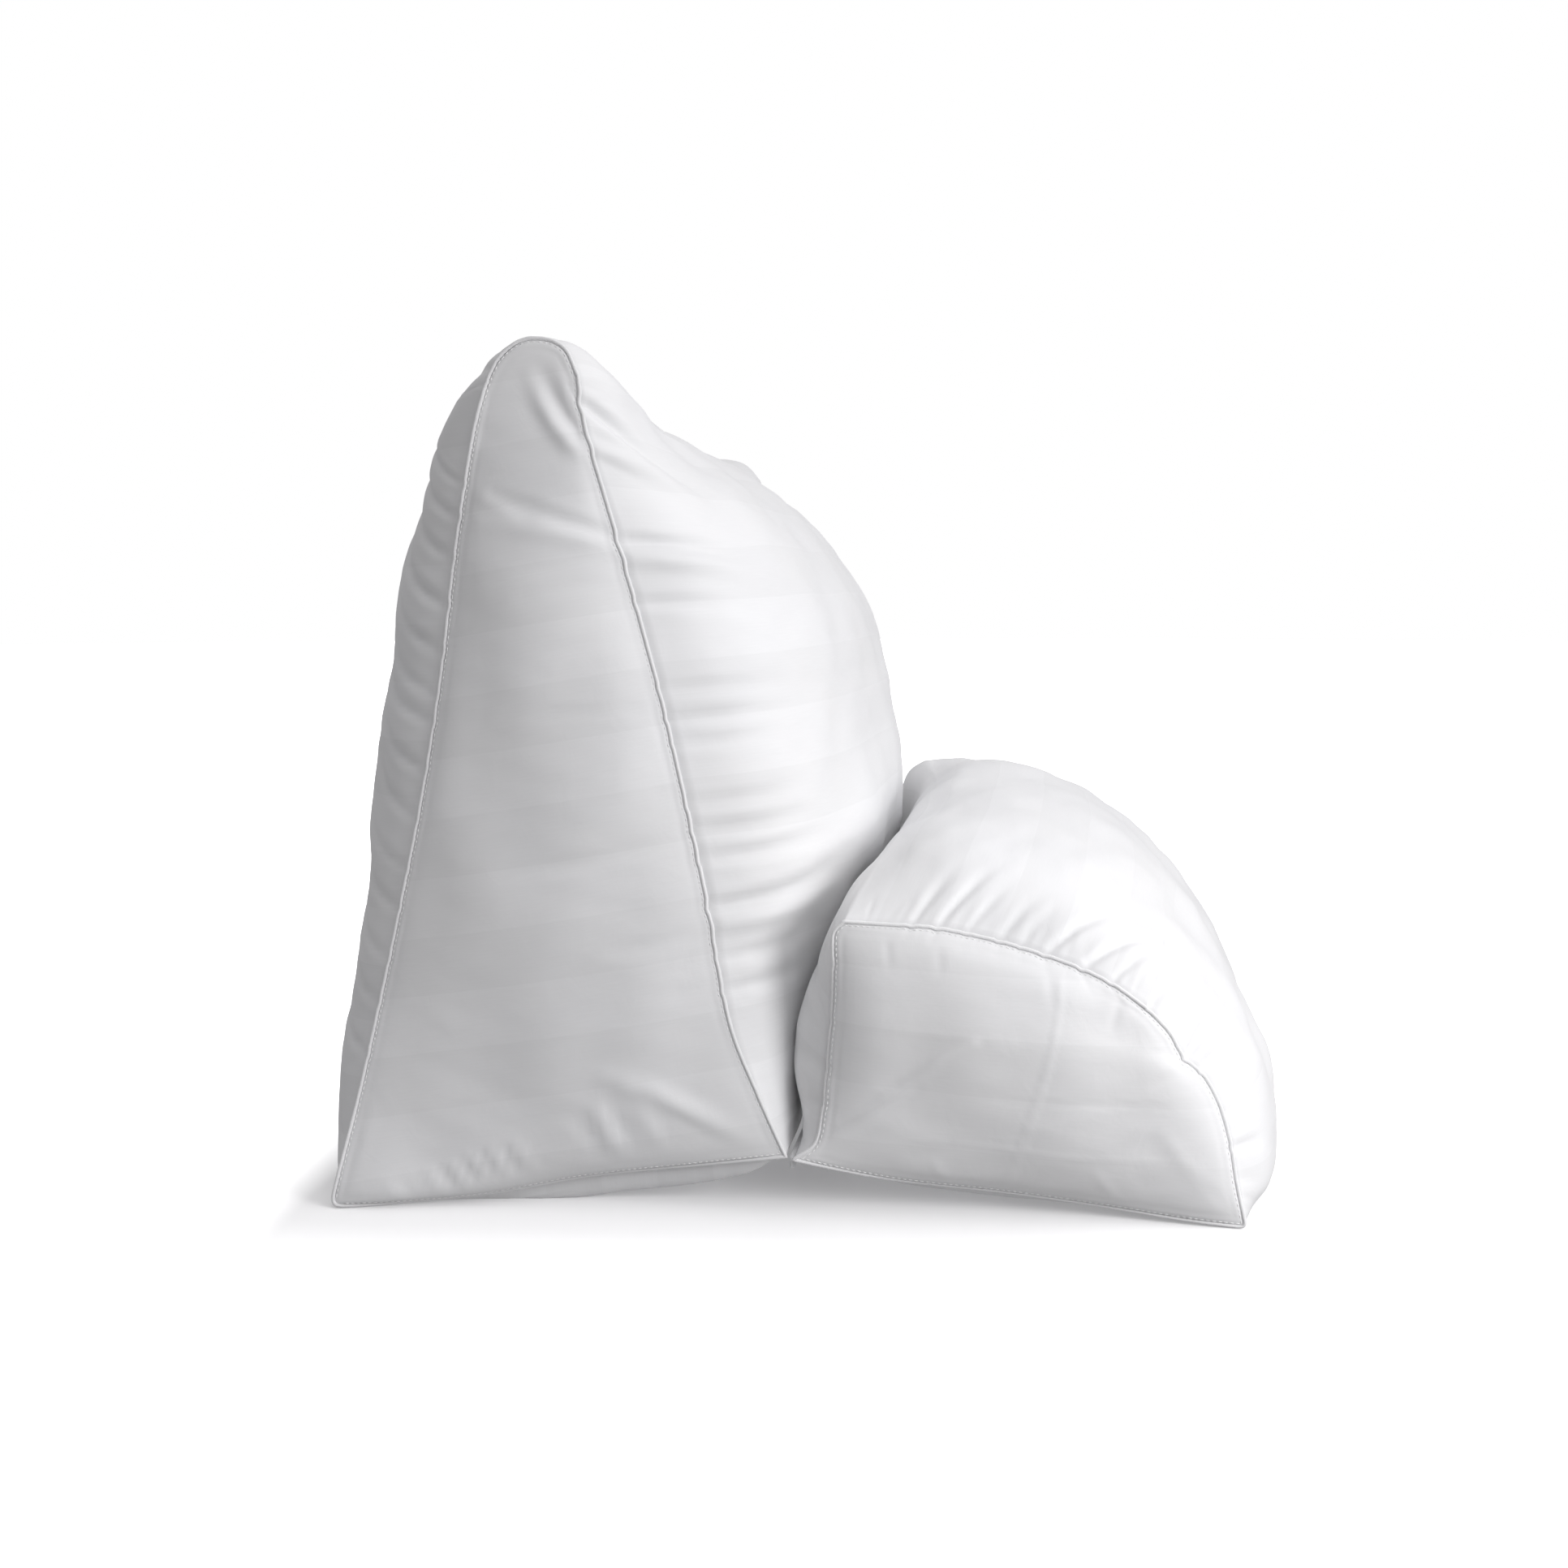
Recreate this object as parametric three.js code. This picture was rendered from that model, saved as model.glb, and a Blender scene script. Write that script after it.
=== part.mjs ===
import * as THREE from 'three';

// Back-rest pillow in two filled cushions: a tall wedge and a low bolster with
// a quarter-round end, sewn to each other along one long bottom edge.
// Millimetres, +Z up. X runs across the pillow, Y along it, and the near end
// is at -Y. In the tables X = 0 is the joining seam and Z = 0 the floor.

const HALF_LENGTH = 306; // from the middle to a corner of an end panel
const SEAM_DRAW = 12; // how far the end seams are drawn in between corners
const WELT_RADIUS = 1.75;
const WELT_PROUD = 0.2; // welt axis outside the seam line
const GROOVE_HALF = 2.3; // half width of the sewn channel under a welt
const GROOVE_DEPTH = 2.5;
const WELT_SIDES = 5;
const FINEST_FOLD = 8; // narrowest half width that this mesh can carry
const JOIN_WIDTH = 4.1;
const JOIN_FOOT = 27;
const JOIN_HEAD = 38.5;
const JOIN_AXIS_X = -0.5;
const JOIN_HALF_LENGTH = 299;

// Distances of the gusset rows from the end seam.
const ROWS = [7, 16, 30, 50, 80, 120, 170, 235];

// Each side runs from corner to corner. end: [x, z] on the end panel's seam,
// mid: [x, z] of the rounder section half way along the pillow.
const WEDGE = {
  back: [
    { end: [-290, 1], mid: [-304, -4] },
    { end: [-271, 92], mid: [-324, 58] },
    { end: [-250, 178], mid: [-314, 150] },
    { end: [-232, 254], mid: [-305, 240] },
    { end: [-217, 330], mid: [-294, 330] },
    { end: [-204, 410], mid: [-278, 408] },
    { end: [-188, 480], mid: [-246, 466] },
    { end: [-180, 504], mid: [-222, 490] },
  ],
  cap: [
    { end: [-180, 504], mid: [-222, 490] },
    { end: [-172, 521], mid: [-198, 497] },
    { end: [-159, 532], mid: [-168, 498] },
    { end: [-145, 534], mid: [-140, 496] },
    { end: [-131, 528], mid: [-114, 492] },
    { end: [-123, 512], mid: [-92, 482] },
  ],
  front: [
    { end: [-123, 512], mid: [-92, 482] },
    { end: [-121, 488], mid: [-50, 455] },
    { end: [-104, 418], mid: [-8, 404] },
    { end: [-78, 316], mid: [20, 328] },
    { end: [-55, 208], mid: [30, 240] },
    { end: [-38, 117], mid: [22, 160] },
    { end: [-21, 76], mid: [8, 90] },
    { end: [-3, 38], mid: [-3, 40] },
  ],
  base: [
    { end: [-3, 38], mid: [-3, 40] },
    { end: [-60, 29], mid: [-50, 3] },
    { end: [-130, 18.5], mid: [-122, -22] },
    { end: [-200, 5], mid: [-192, -36] },
    { end: [-290, 1], mid: [-304, -4] },
  ],
};

const BOLSTER = {
  back: [
    { end: [2, 36], mid: [2, 38] },
    { end: [15, 46], mid: [8, 70] },
    { end: [20, 67], mid: [15, 105] },
    { end: [23, 98], mid: [23, 140] },
    { end: [26, 133], mid: [31, 172] },
    { end: [27, 160], mid: [39, 198] },
    { end: [28, 180], mid: [48, 216] },
    { end: [34, 186], mid: [61, 229] },
  ],
  cap: [
    { end: [34, 186], mid: [61, 229] },
    { end: [64, 184], mid: [84, 240] },
    { end: [88, 182], mid: [112, 243] },
    { end: [123, 175], mid: [138, 240] },
    { end: [152, 167], mid: [165, 232] },
    { end: [176, 159], mid: [192, 219] },
    { end: [198, 149], mid: [218, 202] },
    { end: [217, 136], mid: [240, 184] },
  ],
  front: [
    { end: [217, 136], mid: [240, 184] },
    { end: [231, 121], mid: [264, 156] },
    { end: [240, 105], mid: [284, 126] },
    { end: [252, 94], mid: [300, 94] },
    { end: [262, 76], mid: [313, 64] },
    { end: [269, 52], mid: [318, 38] },
    { end: [273, 28], mid: [316, 10] },
    { end: [279, 1], mid: [294, -6] },
  ],
  base: [
    { end: [279, 1], mid: [294, -6] },
    { end: [237, 4], mid: [215, -18] },
    { end: [188, 9.5], mid: [150, -24] },
    { end: [133, 15.5], mid: [95, -20] },
    { end: [63, 23], mid: [45, -8] },
    { end: [2, 36], mid: [2, 38] },
  ],
};

// How each cushion fills out. power: how squarely a side swells along the
// length. ear: how much a corner keeps its point, reach: over what distance.
// shoulders: swells just behind the end seam, at a corner of the end panel.
// crown: rise of the end panel's middle, dome: how evenly it rises across and up.
const WEDGE_FORM = {
  steps: { back: 32, cap: 14, front: 32, base: 14 },
  power: { back: 2.5, cap: 1.8, front: 2.4, base: 1.9 },
  ear: [
    { hold: 0.2, reach: 10 },
    { hold: 0.05, reach: 40 },
    { hold: 0.95, reach: 60 },
    { hold: 1.0, reach: 40 },
  ],
  farTop: 0.945,
  shoulders: [
    { corner: 1, high: 10, wide: 45, peak: 26, farShare: 0.4 },
    { corner: 2, high: 11, wide: 46, peak: 37, farShare: 0.3 },
  ],
  crown: 33,
  dome: [0.85, 0.5],
  fullWidth: 250,
  sideBulge: 0,
  drop: 8, // how soon the underside falls away behind its seam
  sag: 11, // how far it hangs just behind the seam
  foot: 14, // how far the outer foot corner stands out lengthwise
};

const BOLSTER_FORM = {
  steps: { back: 12, cap: 18, front: 12, base: 18 },
  power: { back: 2.4, cap: 2.4, front: 2.5, base: 1.8 },
  ear: [
    { hold: 1.0, reach: 30 },
    { hold: 0.6, reach: 30 },
    { hold: 0.0, reach: 30 },
    { hold: 0.4, reach: 10 },
  ],
  farTop: 1.12,
  shoulders: [{ corner: 1, high: 3, wide: 36, peak: 28, farShare: 4 }],
  crown: 31,
  dome: [0.7, 0.8],
  fullWidth: 230,
  sideBulge: 19, // the upright side leans out where nothing presses on it
  drop: 12,
  sag: 0,
  foot: 0,
};

// Puckers that run from the near end seam into the gusset. along: distance
// from the side's first corner, slant: drift along the seam for each
// millimetre away from it, reach: length, half: half width, high: height
// outwards, so troughs are negative.
const WEDGE_PUCKERS = [
  { side: 'back', along: 96, slant: 0.5, reach: 26, half: 6, high: -2.2 },
  { side: 'back', along: 130, slant: 0.5, reach: 24, half: 6, high: -2.0 },
  { side: 'back', along: 159, slant: 0.6, reach: 26, half: 6, high: -2.4 },
  { side: 'back', along: 192, slant: 0.6, reach: 30, half: 6, high: -2.6 },
  { side: 'back', along: 218, slant: 0.6, reach: 26, half: 5, high: -2.2 },
  { side: 'back', along: 251, slant: 0.7, reach: 30, half: 6, high: -2.6 },
  { side: 'back', along: 281, slant: 0.7, reach: 30, half: 6, high: -2.8 },
  { side: 'back', along: 312, slant: 0.6, reach: 34, half: 7, high: -3.0 },
  { side: 'back', along: 329, slant: 0.7, reach: 26, half: 5, high: -2.0 },
  { side: 'back', along: 356, slant: 0.7, reach: 30, half: 6, high: -2.8 },
  { side: 'back', along: 384, slant: 0.8, reach: 36, half: 7, high: -3.6 },
  { side: 'back', along: 413, slant: 0.8, reach: 30, half: 6, high: -2.6 },
  { side: 'back', along: 438, slant: 0.8, reach: 30, half: 6, high: -3.0 },
  { side: 'back', along: 458, slant: 0.9, reach: 26, half: 5, high: -2.4 },
  { side: 'front', along: 16, slant: 0.55, reach: 46, half: 8, high: -4.6 },
  { side: 'front', along: 42, slant: 0.35, reach: 44, half: 9, high: 3.0 },
  { side: 'front', along: 99, slant: 0.12, reach: 60, half: 7, high: -3.6 },
  { side: 'front', along: 111, slant: 0.12, reach: 54, half: 8, high: 3.0 },
  { side: 'front', along: 138, slant: 0.1, reach: 40, half: 6, high: -2.4 },
  { side: 'front', along: 192, slant: 0.05, reach: 44, half: 6, high: -2.4 },
  { side: 'front', along: 210, slant: 0.0, reach: 36, half: 5, high: -2.4 },
  { side: 'front', along: 226, slant: 0.0, reach: 30, half: 5, high: -1.8 },
  { side: 'front', along: 264, slant: -0.05, reach: 38, half: 6, high: -2.6 },
  { side: 'front', along: 281, slant: -0.05, reach: 44, half: 6, high: -2.8 },
  { side: 'front', along: 299, slant: -0.1, reach: 46, half: 6, high: -2.8 },
  { side: 'front', along: 329, slant: -0.12, reach: 70, half: 8, high: -4.2 },
  { side: 'front', along: 342, slant: -0.12, reach: 60, half: 8, high: 2.6 },
  { side: 'front', along: 362, slant: -0.1, reach: 34, half: 6, high: -2.2 },
  { side: 'front', along: 382, slant: -0.1, reach: 34, half: 6, high: -2.2 },
];

const BOLSTER_PUCKERS = [
  { side: 'cap', along: 41, slant: 0.3, reach: 28, half: 5, high: -2.6 },
  { side: 'cap', along: 56, slant: 0.5, reach: 34, half: 5, high: -3.0 },
  { side: 'cap', along: 74, slant: 0.5, reach: 22, half: 4, high: -2.0 },
  { side: 'cap', along: 94, slant: 0.5, reach: 24, half: 5, high: -2.4 },
  { side: 'cap', along: 108, slant: 0.4, reach: 18, half: 4, high: -1.8 },
  { side: 'cap', along: 123, slant: 0.8, reach: 38, half: 6, high: -3.2 },
  { side: 'cap', along: 147, slant: 0.9, reach: 42, half: 6, high: -3.4 },
  { side: 'cap', along: 166, slant: 0.6, reach: 30, half: 5, high: -2.8 },
  { side: 'front', along: 0, slant: 0.4, reach: 36, half: 6, high: -3.0 },
  { side: 'front', along: 40, slant: -0.1, reach: 42, half: 5, high: -4.4 },
  { side: 'front', along: 52, slant: 0.0, reach: 34, half: 4, high: -3.0 },
  { side: 'front', along: 104, slant: 0.1, reach: 30, half: 5, high: -2.2 },
];

// Folds on the near end panels. path: [x, z] points, half: half width,
// high: height outwards.
const WEDGE_FOLDS = [
  { path: [[-156, 514], [-144, 491], [-126, 472], [-106, 460]], half: 5, high: 3.4 },
  { path: [[-140, 518], [-129, 494], [-117, 477]], half: 5.5, high: -4.8 },
  { path: [[-170, 432], [-133, 424], [-98, 419]], half: 6, high: -3.6 },
  { path: [[-186, 428], [-152, 418], [-101, 408]], half: 8, high: 3.2 },
  { path: [[-192, 446], [-164, 431]], half: 5, high: 2.0 },
  { path: [[-176, 394], [-115, 407]], half: 6, high: -1.2 },
  { path: [[-190, 307], [-136, 313], [-76, 315]], half: 2.2, high: -1.4 },
  { path: [[-176, 213], [-128, 220], [-58, 236]], half: 5, high: -1.5 },
  { path: [[-107, 165], [-44, 178]], half: 5, high: -1.6 },
  { path: [[-72, 137], [-38, 147]], half: 4, high: -1.4 },
  { path: [[-114, 85], [-61, 60], [-14, 38]], half: 7, high: 3.2 },
  { path: [[-112, 75], [-45, 41]], half: 5, high: -2.8 },
  { path: [[-146, 63], [-107, 33]], half: 6, high: 1.8 },
  { path: [[-202, 34], [-188, 16]], half: 4, high: -2.4 },
  { path: [[-236, 30], [-224, 12]], half: 4, high: -2.0 },
];

const BOLSTER_FOLDS = [
  { path: [[6, 40], [22, 47], [46, 61], [72, 79], [124, 105]], half: 6, high: 3.4 },
  { path: [[22, 58], [48, 78], [82, 96]], half: 6, high: -2.2 },
  { path: [[26, 38], [62, 56], [102, 80]], half: 7, high: -2.0 },
  { path: [[166, 165], [162, 123], [152, 81], [132, 22]], half: 2.6, high: 1.2 },
  { path: [[51, 123], [227, 113]], half: 3, high: 0.6 },
  { path: [[132, 81], [188, 80], [256, 78]], half: 2.6, high: -1.0 },
  { path: [[75, 53], [116, 51], [176, 45], [264, 43]], half: 3, high: 0.7 },
];

const CLOTH = new THREE.MeshStandardMaterial({ color: 0xf3f3f4, roughness: 0.62, metalness: 0 });
const PIPING = new THREE.MeshStandardMaterial({ color: 0xf6f6f6, roughness: 0.7, metalness: 0 });

const SIDES = ['back', 'cap', 'front', 'base'];

// A repeatable value between 0 and 1 for the folds that no view gives.
function scatter(i, salt) {
  const s = Math.sin(i * 12.9898 + salt * 78.233) * 43758.5453;
  return s - Math.floor(s);
}

// Even steps along the smooth curve through one side's points.
function sideCurve(rows, key, steps) {
  const pts = rows.map((row) => new THREE.Vector3(row[key][0], 0, row[key][1]));
  const curve = new THREE.CatmullRomCurve3(pts, false, 'centripetal');
  return curve.getSpacedPoints(steps).map((p) => [p.x, p.z]);
}

// Puckers of the far seam and of the seam parts that lie out of sight.
function farPuckers(lengths, salt) {
  const rows = [];
  SIDES.forEach((side, k) => {
    let along = 14;
    let i = k * 40;
    while (along < lengths[k] - 14) {
      const r = [0, 1, 2, 3].map((n) => scatter(i, salt + n));
      rows.push({
        side, along,
        slant: 1.2 * r[0] - 0.5,
        reach: 20 + 26 * r[1],
        half: 4.5 + 2.5 * r[2],
        high: -1.4 - 1.8 * r[3],
      });
      along += 18 + 20 * r[1];
      i += 1;
    }
  });
  return rows;
}

function puckerHeight(list, side, along, away) {
  let sum = 0;
  for (const p of list) {
    if (p.side !== side || away > 2.6 * p.reach) continue;
    const wide = Math.max(p.half, FINEST_FOLD);
    const w = wide * (0.7 + 0.7 * away / p.reach);
    const s = (along - p.along - p.slant * away) / w;
    const body = Math.exp(-s * s) - 0.4 * Math.exp(-s * s / 5);
    const fade = (0.45 + 0.55 * Math.min(1, away / 12)) * Math.exp(-((away / p.reach) ** 2));
    sum += p.high * (p.half / wide) ** 0.5 * body * fade;
  }
  return sum;
}

function foldHeight(list, x, z) {
  let sum = 0;
  for (const f of list) {
    let best = Infinity;
    let end = 1;
    const n = f.path.length - 1;
    for (let i = 0; i < n; i += 1) {
      const [ax, az] = f.path[i];
      const [bx, bz] = f.path[i + 1];
      const l2 = (bx - ax) ** 2 + (bz - az) ** 2;
      const t = Math.min(1, Math.max(0, ((x - ax) * (bx - ax) + (z - az) * (bz - az)) / l2));
      const d = Math.hypot(x - ax - t * (bx - ax), z - az - t * (bz - az));
      if (d < best) {
        best = d;
        end = (i + t) / n;
      }
    }
    const wide = Math.max(f.half, FINEST_FOLD);
    const taper = Math.sin(Math.PI * (0.12 + 0.76 * end));
    const s = best / wide;
    sum += f.high * (f.half / wide) ** 0.7 * taper * (Math.exp(-s * s) - 0.3 * Math.exp(-s * s / 4));
  }
  return sum;
}

// The ring of columns round a cushion, with what each column needs.
function columns(sides, form) {
  const out = [];
  SIDES.forEach((side, k) => {
    const steps = form.steps[side];
    const end = sideCurve(sides[side], 'end', steps);
    const mid = sideCurve(sides[side], 'mid', steps);
    const run = [0];
    for (let i = 1; i <= steps; i += 1) {
      run.push(run[i - 1] + Math.hypot(end[i][0] - end[i - 1][0], end[i][1] - end[i - 1][1]));
    }
    const whole = run[steps];
    const near = form.ear[k];
    const next = form.ear[(k + 1) % 4];
    const before = form.power[SIDES[(k + 3) % 4]];
    const after = form.power[SIDES[(k + 1) % 4]];
    for (let i = 0; i < steps; i += 1) {
      const a = run[i];
      const b = whole - run[i];
      const free = (1 - near.hold * Math.exp(-((a / near.reach) ** 1.5)))
        * (1 - next.hold * Math.exp(-((b / next.reach) ** 1.5)));
      const power = form.power[side]
        + (before - form.power[side]) * 0.5 * Math.exp(-((a / 20) ** 2))
        + (after - form.power[side]) * 0.5 * Math.exp(-((b / 20) ** 2));
      const draw = SEAM_DRAW * (1 - Math.exp(-((a / 70) ** 1.5))) * (1 - Math.exp(-((b / 70) ** 1.5)));
      const bulge = side === 'back' ? form.sideBulge * Math.sin(Math.PI * a / whole) : 0;
      const toFoot = side === 'back' ? a : b;
      const foot = k % 3 === 0 ? form.foot * Math.exp(-((toFoot / 55) ** 2)) : 0;
      const crest = form.shoulders.map(({ corner, wide }) => {
        if (corner === k) return Math.exp(-((a / wide) ** 2));
        return corner === k + 1 ? Math.exp(-((b / wide) ** 2)) : 0;
      });
      const toJoin = Math.hypot(end[i][0], end[i][1] - 38);
      const sag = side === 'base' ? form.sag * (1 - Math.exp(-((toJoin / 26) ** 2))) : 0;
      out.push({ side, along: a, end: end[i], mid: mid[i], free, power, draw: draw - foot, bulge, crest, sag });
    }
    form.lengths = form.lengths || [];
    form.lengths[k] = whole;
  });
  const normals = ringNormals(out.map((col) => ({ x: col.end[0], z: col.end[1] })));
  out.forEach((col, i) => { col.normal = normals[i]; });
  return out;
}

// Point of a column at a distance from the near (end = -1) or far (end = 1) seam.
function gussetPoint(col, form, end, away) {
  const v = end * (1 - away / HALF_LENGTH);
  const size = Math.abs(v);
  const slow = 1 - size ** 1.7;
  const start = col.side === 'base' ? form.drop : 12;
  const full = (1 - size ** col.power) ** (1 / col.power) * (1 - Math.exp(-away / start)) ** 0.8;
  const g = slow * (1 - col.free) + full * col.free;
  const lift = 1 - (v + 1) / 2 * (1 - form.farTop);
  const lean = col.bulge * (1 - Math.exp(-away / 12)) * Math.exp(-(((away - 30) / 50) ** 2));
  const rise = form.shoulders.reduce((sum, { high, peak, farShare }, i) => sum
    + high * col.crest[i] * (end < 0 ? 1 : farShare) * (away / peak) * Math.exp(1 - away / peak), 0);
  const x = col.end[0] * (1 - g) + col.mid[0] * g - lean + col.normal.x * rise;
  const past = Math.max(0, away - 3.5) / 7;
  const hang = col.sag * past * Math.exp(1 - past);
  const z = col.end[1] * lift * (1 - g) + col.mid[1] * g + col.normal.z * rise - hang;
  const y = end * (HALF_LENGTH - away - col.draw * size ** 3);
  return new THREE.Vector3(x, y, z);
}

function unit(ax, az) {
  const l = Math.hypot(ax, az) || 1;
  return [ax / l, az / l];
}

// Outward directions in the end plane, lengthened at the sharp corners.
function ringNormals(ring) {
  const n = ring.length;
  return ring.map((p, i) => {
    const a = ring[(i + n - 1) % n];
    const b = ring[(i + 1) % n];
    const e0 = unit(p.x - a.x, p.z - a.z);
    const e1 = unit(b.x - p.x, b.z - p.z);
    const m = unit(-(e0[1] + e1[1]), e0[0] + e1[0]);
    const cos = Math.max(0.58, m[0] * -e0[1] + m[1] * e0[0]);
    return { x: m[0], z: m[1], miter: 1 / cos };
  });
}

function buildCushion(sides, form, puckers, folds, salt) {
  const cols = columns(sides, form);
  const n = cols.length;
  const hidden = farPuckers(form.lengths, salt);
  const seen = new Set(puckers.map((p) => p.side));
  const near = puckers.concat(hidden.filter((p) => !seen.has(p.side) && p.side !== 'base'));
  const aways = ROWS.concat([HALF_LENGTH]);
  const stations = [];
  aways.forEach((a) => stations.push([-1, a]));
  aways.slice(0, -1).reverse().forEach((a) => stations.push([1, a]));
  const seams = [-1, 1].map((end) => cols.map((c) => gussetPoint(c, form, end, 0)));
  const base = stations.map(([end, a]) => cols.map((c) => gussetPoint(c, form, end, a)));
  const calm = (col, x, z) => {
    const toJoin = Math.hypot(x, z - 38);
    return Math.min(1, Math.max(0, (toJoin - 12) / 40)) * Math.min(1, z / 8);
  };
  const du = new THREE.Vector3();
  const dv = new THREE.Vector3();
  const moved = base.map((row, r) => row.map((p, i) => {
    const [end, away] = stations[r];
    const list = end < 0 ? near : hidden;
    const h = puckerHeight(list, cols[i].side, cols[i].along, away) * calm(cols[i], p.x, p.z);
    du.subVectors(row[(i + 1) % n], row[(i + n - 1) % n]);
    dv.subVectors(base[Math.min(r + 1, base.length - 1)][i], base[Math.max(r - 1, 0)][i]);
    const normal = du.cross(dv).normalize();
    return p.clone().addScaledVector(normal, h);
  }));
  seams.forEach((ring, e) => {
    const list = e === 0 ? near : hidden;
    const normals = ringNormals(ring);
    ring.forEach((p, i) => {
      const h = puckerHeight(list, cols[i].side, cols[i].along, 0) * calm(cols[i], p.x, p.z);
      p.x += normals[i].x * h;
      p.z += normals[i].z * h;
    });
  });
  return { cols, n, form, seams, moved, folds };
}

// Sewn channel at one end: rim on the panel, groove floor, rim on the gusset.
function channel(cushion, e) {
  const end = e === 0 ? -1 : 1;
  const ring = cushion.seams[e];
  const inner = e === 0 ? cushion.moved[0] : cushion.moved[cushion.moved.length - 1];
  const normals = ringNormals(ring);
  const rims = { panel: [], floor: [], gusset: [], welt: [], out: [] };
  ring.forEach((p, i) => {
    const k = normals[i];
    const a = new THREE.Vector3(-k.x, 0, -k.z);
    const b = new THREE.Vector3().subVectors(inner[i], p).normalize();
    const inward = new THREE.Vector3().addVectors(a, b).add(new THREE.Vector3(0, -end * 0.12, 0));
    inward.normalize();
    rims.panel.push(p.clone().addScaledVector(a, GROOVE_HALF * k.miter));
    rims.floor.push(p.clone().addScaledVector(inward, GROOVE_DEPTH));
    rims.gusset.push(p.clone().addScaledVector(b, GROOVE_HALF));
    rims.welt.push(p.clone().addScaledVector(inward, -WELT_PROUD));
    rims.out.push(k);
  });
  return rims;
}

// Fills the panel inside a closed rim with a grid, crowned outwards.
function panelGrid(rim, form, end, folds) {
  const na = form.steps.back;
  const nb = form.steps.cap;
  const nc = form.steps.front;
  const n = rim.length;
  const left = [];
  const right = [];
  const top = [];
  const foot = [];
  for (let i = 0; i <= na; i += 1) left.push(rim[i]);
  for (let j = 0; j <= nb; j += 1) top.push(rim[na + j]);
  for (let i = 0; i <= nc; i += 1) right.push(rim[na + nb + nc - i]);
  for (let j = 0; j <= nb; j += 1) foot.push(rim[(n - j) % n]);
  const grid = [];
  for (let i = 0; i <= na; i += 1) {
    const q = i / na;
    const row = [];
    const width = left[i].distanceTo(right[i]) / form.fullWidth;
    for (let j = 0; j <= nb; j += 1) {
      const p = j / nb;
      const point = new THREE.Vector3();
      point.addScaledVector(left[i], 1 - p).addScaledVector(right[i], p);
      point.addScaledVector(foot[j], 1 - q).addScaledVector(top[j], q);
      point.addScaledVector(left[0], -(1 - p) * (1 - q)).addScaledVector(right[0], -p * (1 - q));
      point.addScaledVector(top[0], -(1 - p) * q).addScaledVector(top[nb], -p * q);
      if (i > 0 && i < na && j > 0 && j < nb) {
        const bulge = (4 * p * (1 - p)) ** form.dome[0] * (4 * q * (1 - q)) ** form.dome[1];
        let out = form.crown * bulge * Math.min(1, width) ** 0.6;
        const edge = Math.min(1, 6 * p * (1 - p)) * Math.min(1, 12 * q * (1 - q));
        out += foldHeight(folds, point.x, point.z) * edge;
        point.y += end * out;
      }
      row.push(point);
    }
    grid.push(row);
  }
  return grid;
}

function cushionGeometry(cushion) {
  const verts = [];
  const faces = [];
  const add = (p) => {
    verts.push(p.x, p.y, Math.max(0, p.z));
    return verts.length / 3 - 1;
  };
  const ends = [0, 1].map((e) => channel(cushion, e));
  const loops = [];
  loops.push(ends[0].panel.map(add), ends[0].floor.map(add), ends[0].gusset.map(add));
  cushion.moved.forEach((row) => loops.push(row.map(add)));
  loops.push(ends[1].gusset.map(add), ends[1].floor.map(add), ends[1].panel.map(add));
  const n = cushion.n;
  for (let r = 0; r + 1 < loops.length; r += 1) {
    for (let i = 0; i < n; i += 1) {
      const j = (i + 1) % n;
      faces.push(loops[r][i], loops[r + 1][j], loops[r + 1][i]);
      faces.push(loops[r][i], loops[r][j], loops[r + 1][j]);
    }
  }
  [[0, loops[0], -1], [1, loops[loops.length - 1], 1]].forEach(([e, loop, end]) => {
    const rim = ends[e].panel;
    const grid = panelGrid(rim, cushion.form, end, e === 0 ? cushion.folds : cushion.farFolds);
    const na = cushion.form.steps.back;
    const nb = cushion.form.steps.cap;
    const id = grid.map((row, i) => row.map((p, j) => {
      if (j === 0) return loop[i];
      if (i === na) return loop[na + j];
      if (j === nb) return loop[na + nb + na - i];
      if (i === 0) return loop[(n - j) % n];
      return add(p);
    }));
    for (let i = 0; i < na; i += 1) {
      for (let j = 0; j < nb; j += 1) {
        const [a, b, c, d] = [id[i][j], id[i][j + 1], id[i + 1][j + 1], id[i + 1][j]];
        if (end < 0) faces.push(a, b, c, a, c, d);
        else faces.push(a, c, b, a, d, c);
      }
    }
  });
  return solid(verts, faces);
}

function weltGeometry(cushion, e) {
  const rims = channel(cushion, e);
  const n = cushion.n;
  const verts = [];
  const faces = [];
  rims.welt.forEach((c, i) => {
    const k = rims.out[i];
    for (let s = 0; s < WELT_SIDES; s += 1) {
      const a = 2 * Math.PI * (s + 0.25) / WELT_SIDES;
      const across = WELT_RADIUS * Math.cos(a) * Math.min(1.4, k.miter);
      const z = c.z + across * k.z;
      verts.push(c.x + across * k.x, c.y + WELT_RADIUS * Math.sin(a), Math.max(0, z));
    }
  });
  for (let i = 0; i < n; i += 1) {
    const j = (i + 1) % n;
    for (let s = 0; s < WELT_SIDES; s += 1) {
      const t = (s + 1) % WELT_SIDES;
      const [a, b, c, d] = [i * WELT_SIDES + s, j * WELT_SIDES + s, j * WELT_SIDES + t, i * WELT_SIDES + t];
      faces.push(a, b, c, a, c, d);
    }
  }
  return solid(verts, faces);
}

function solid(verts, faces) {
  const g = new THREE.BufferGeometry();
  g.setAttribute('position', new THREE.Float32BufferAttribute(verts, 3));
  g.setIndex(faces);
  g.computeVertexNormals();
  return g;
}

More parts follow.
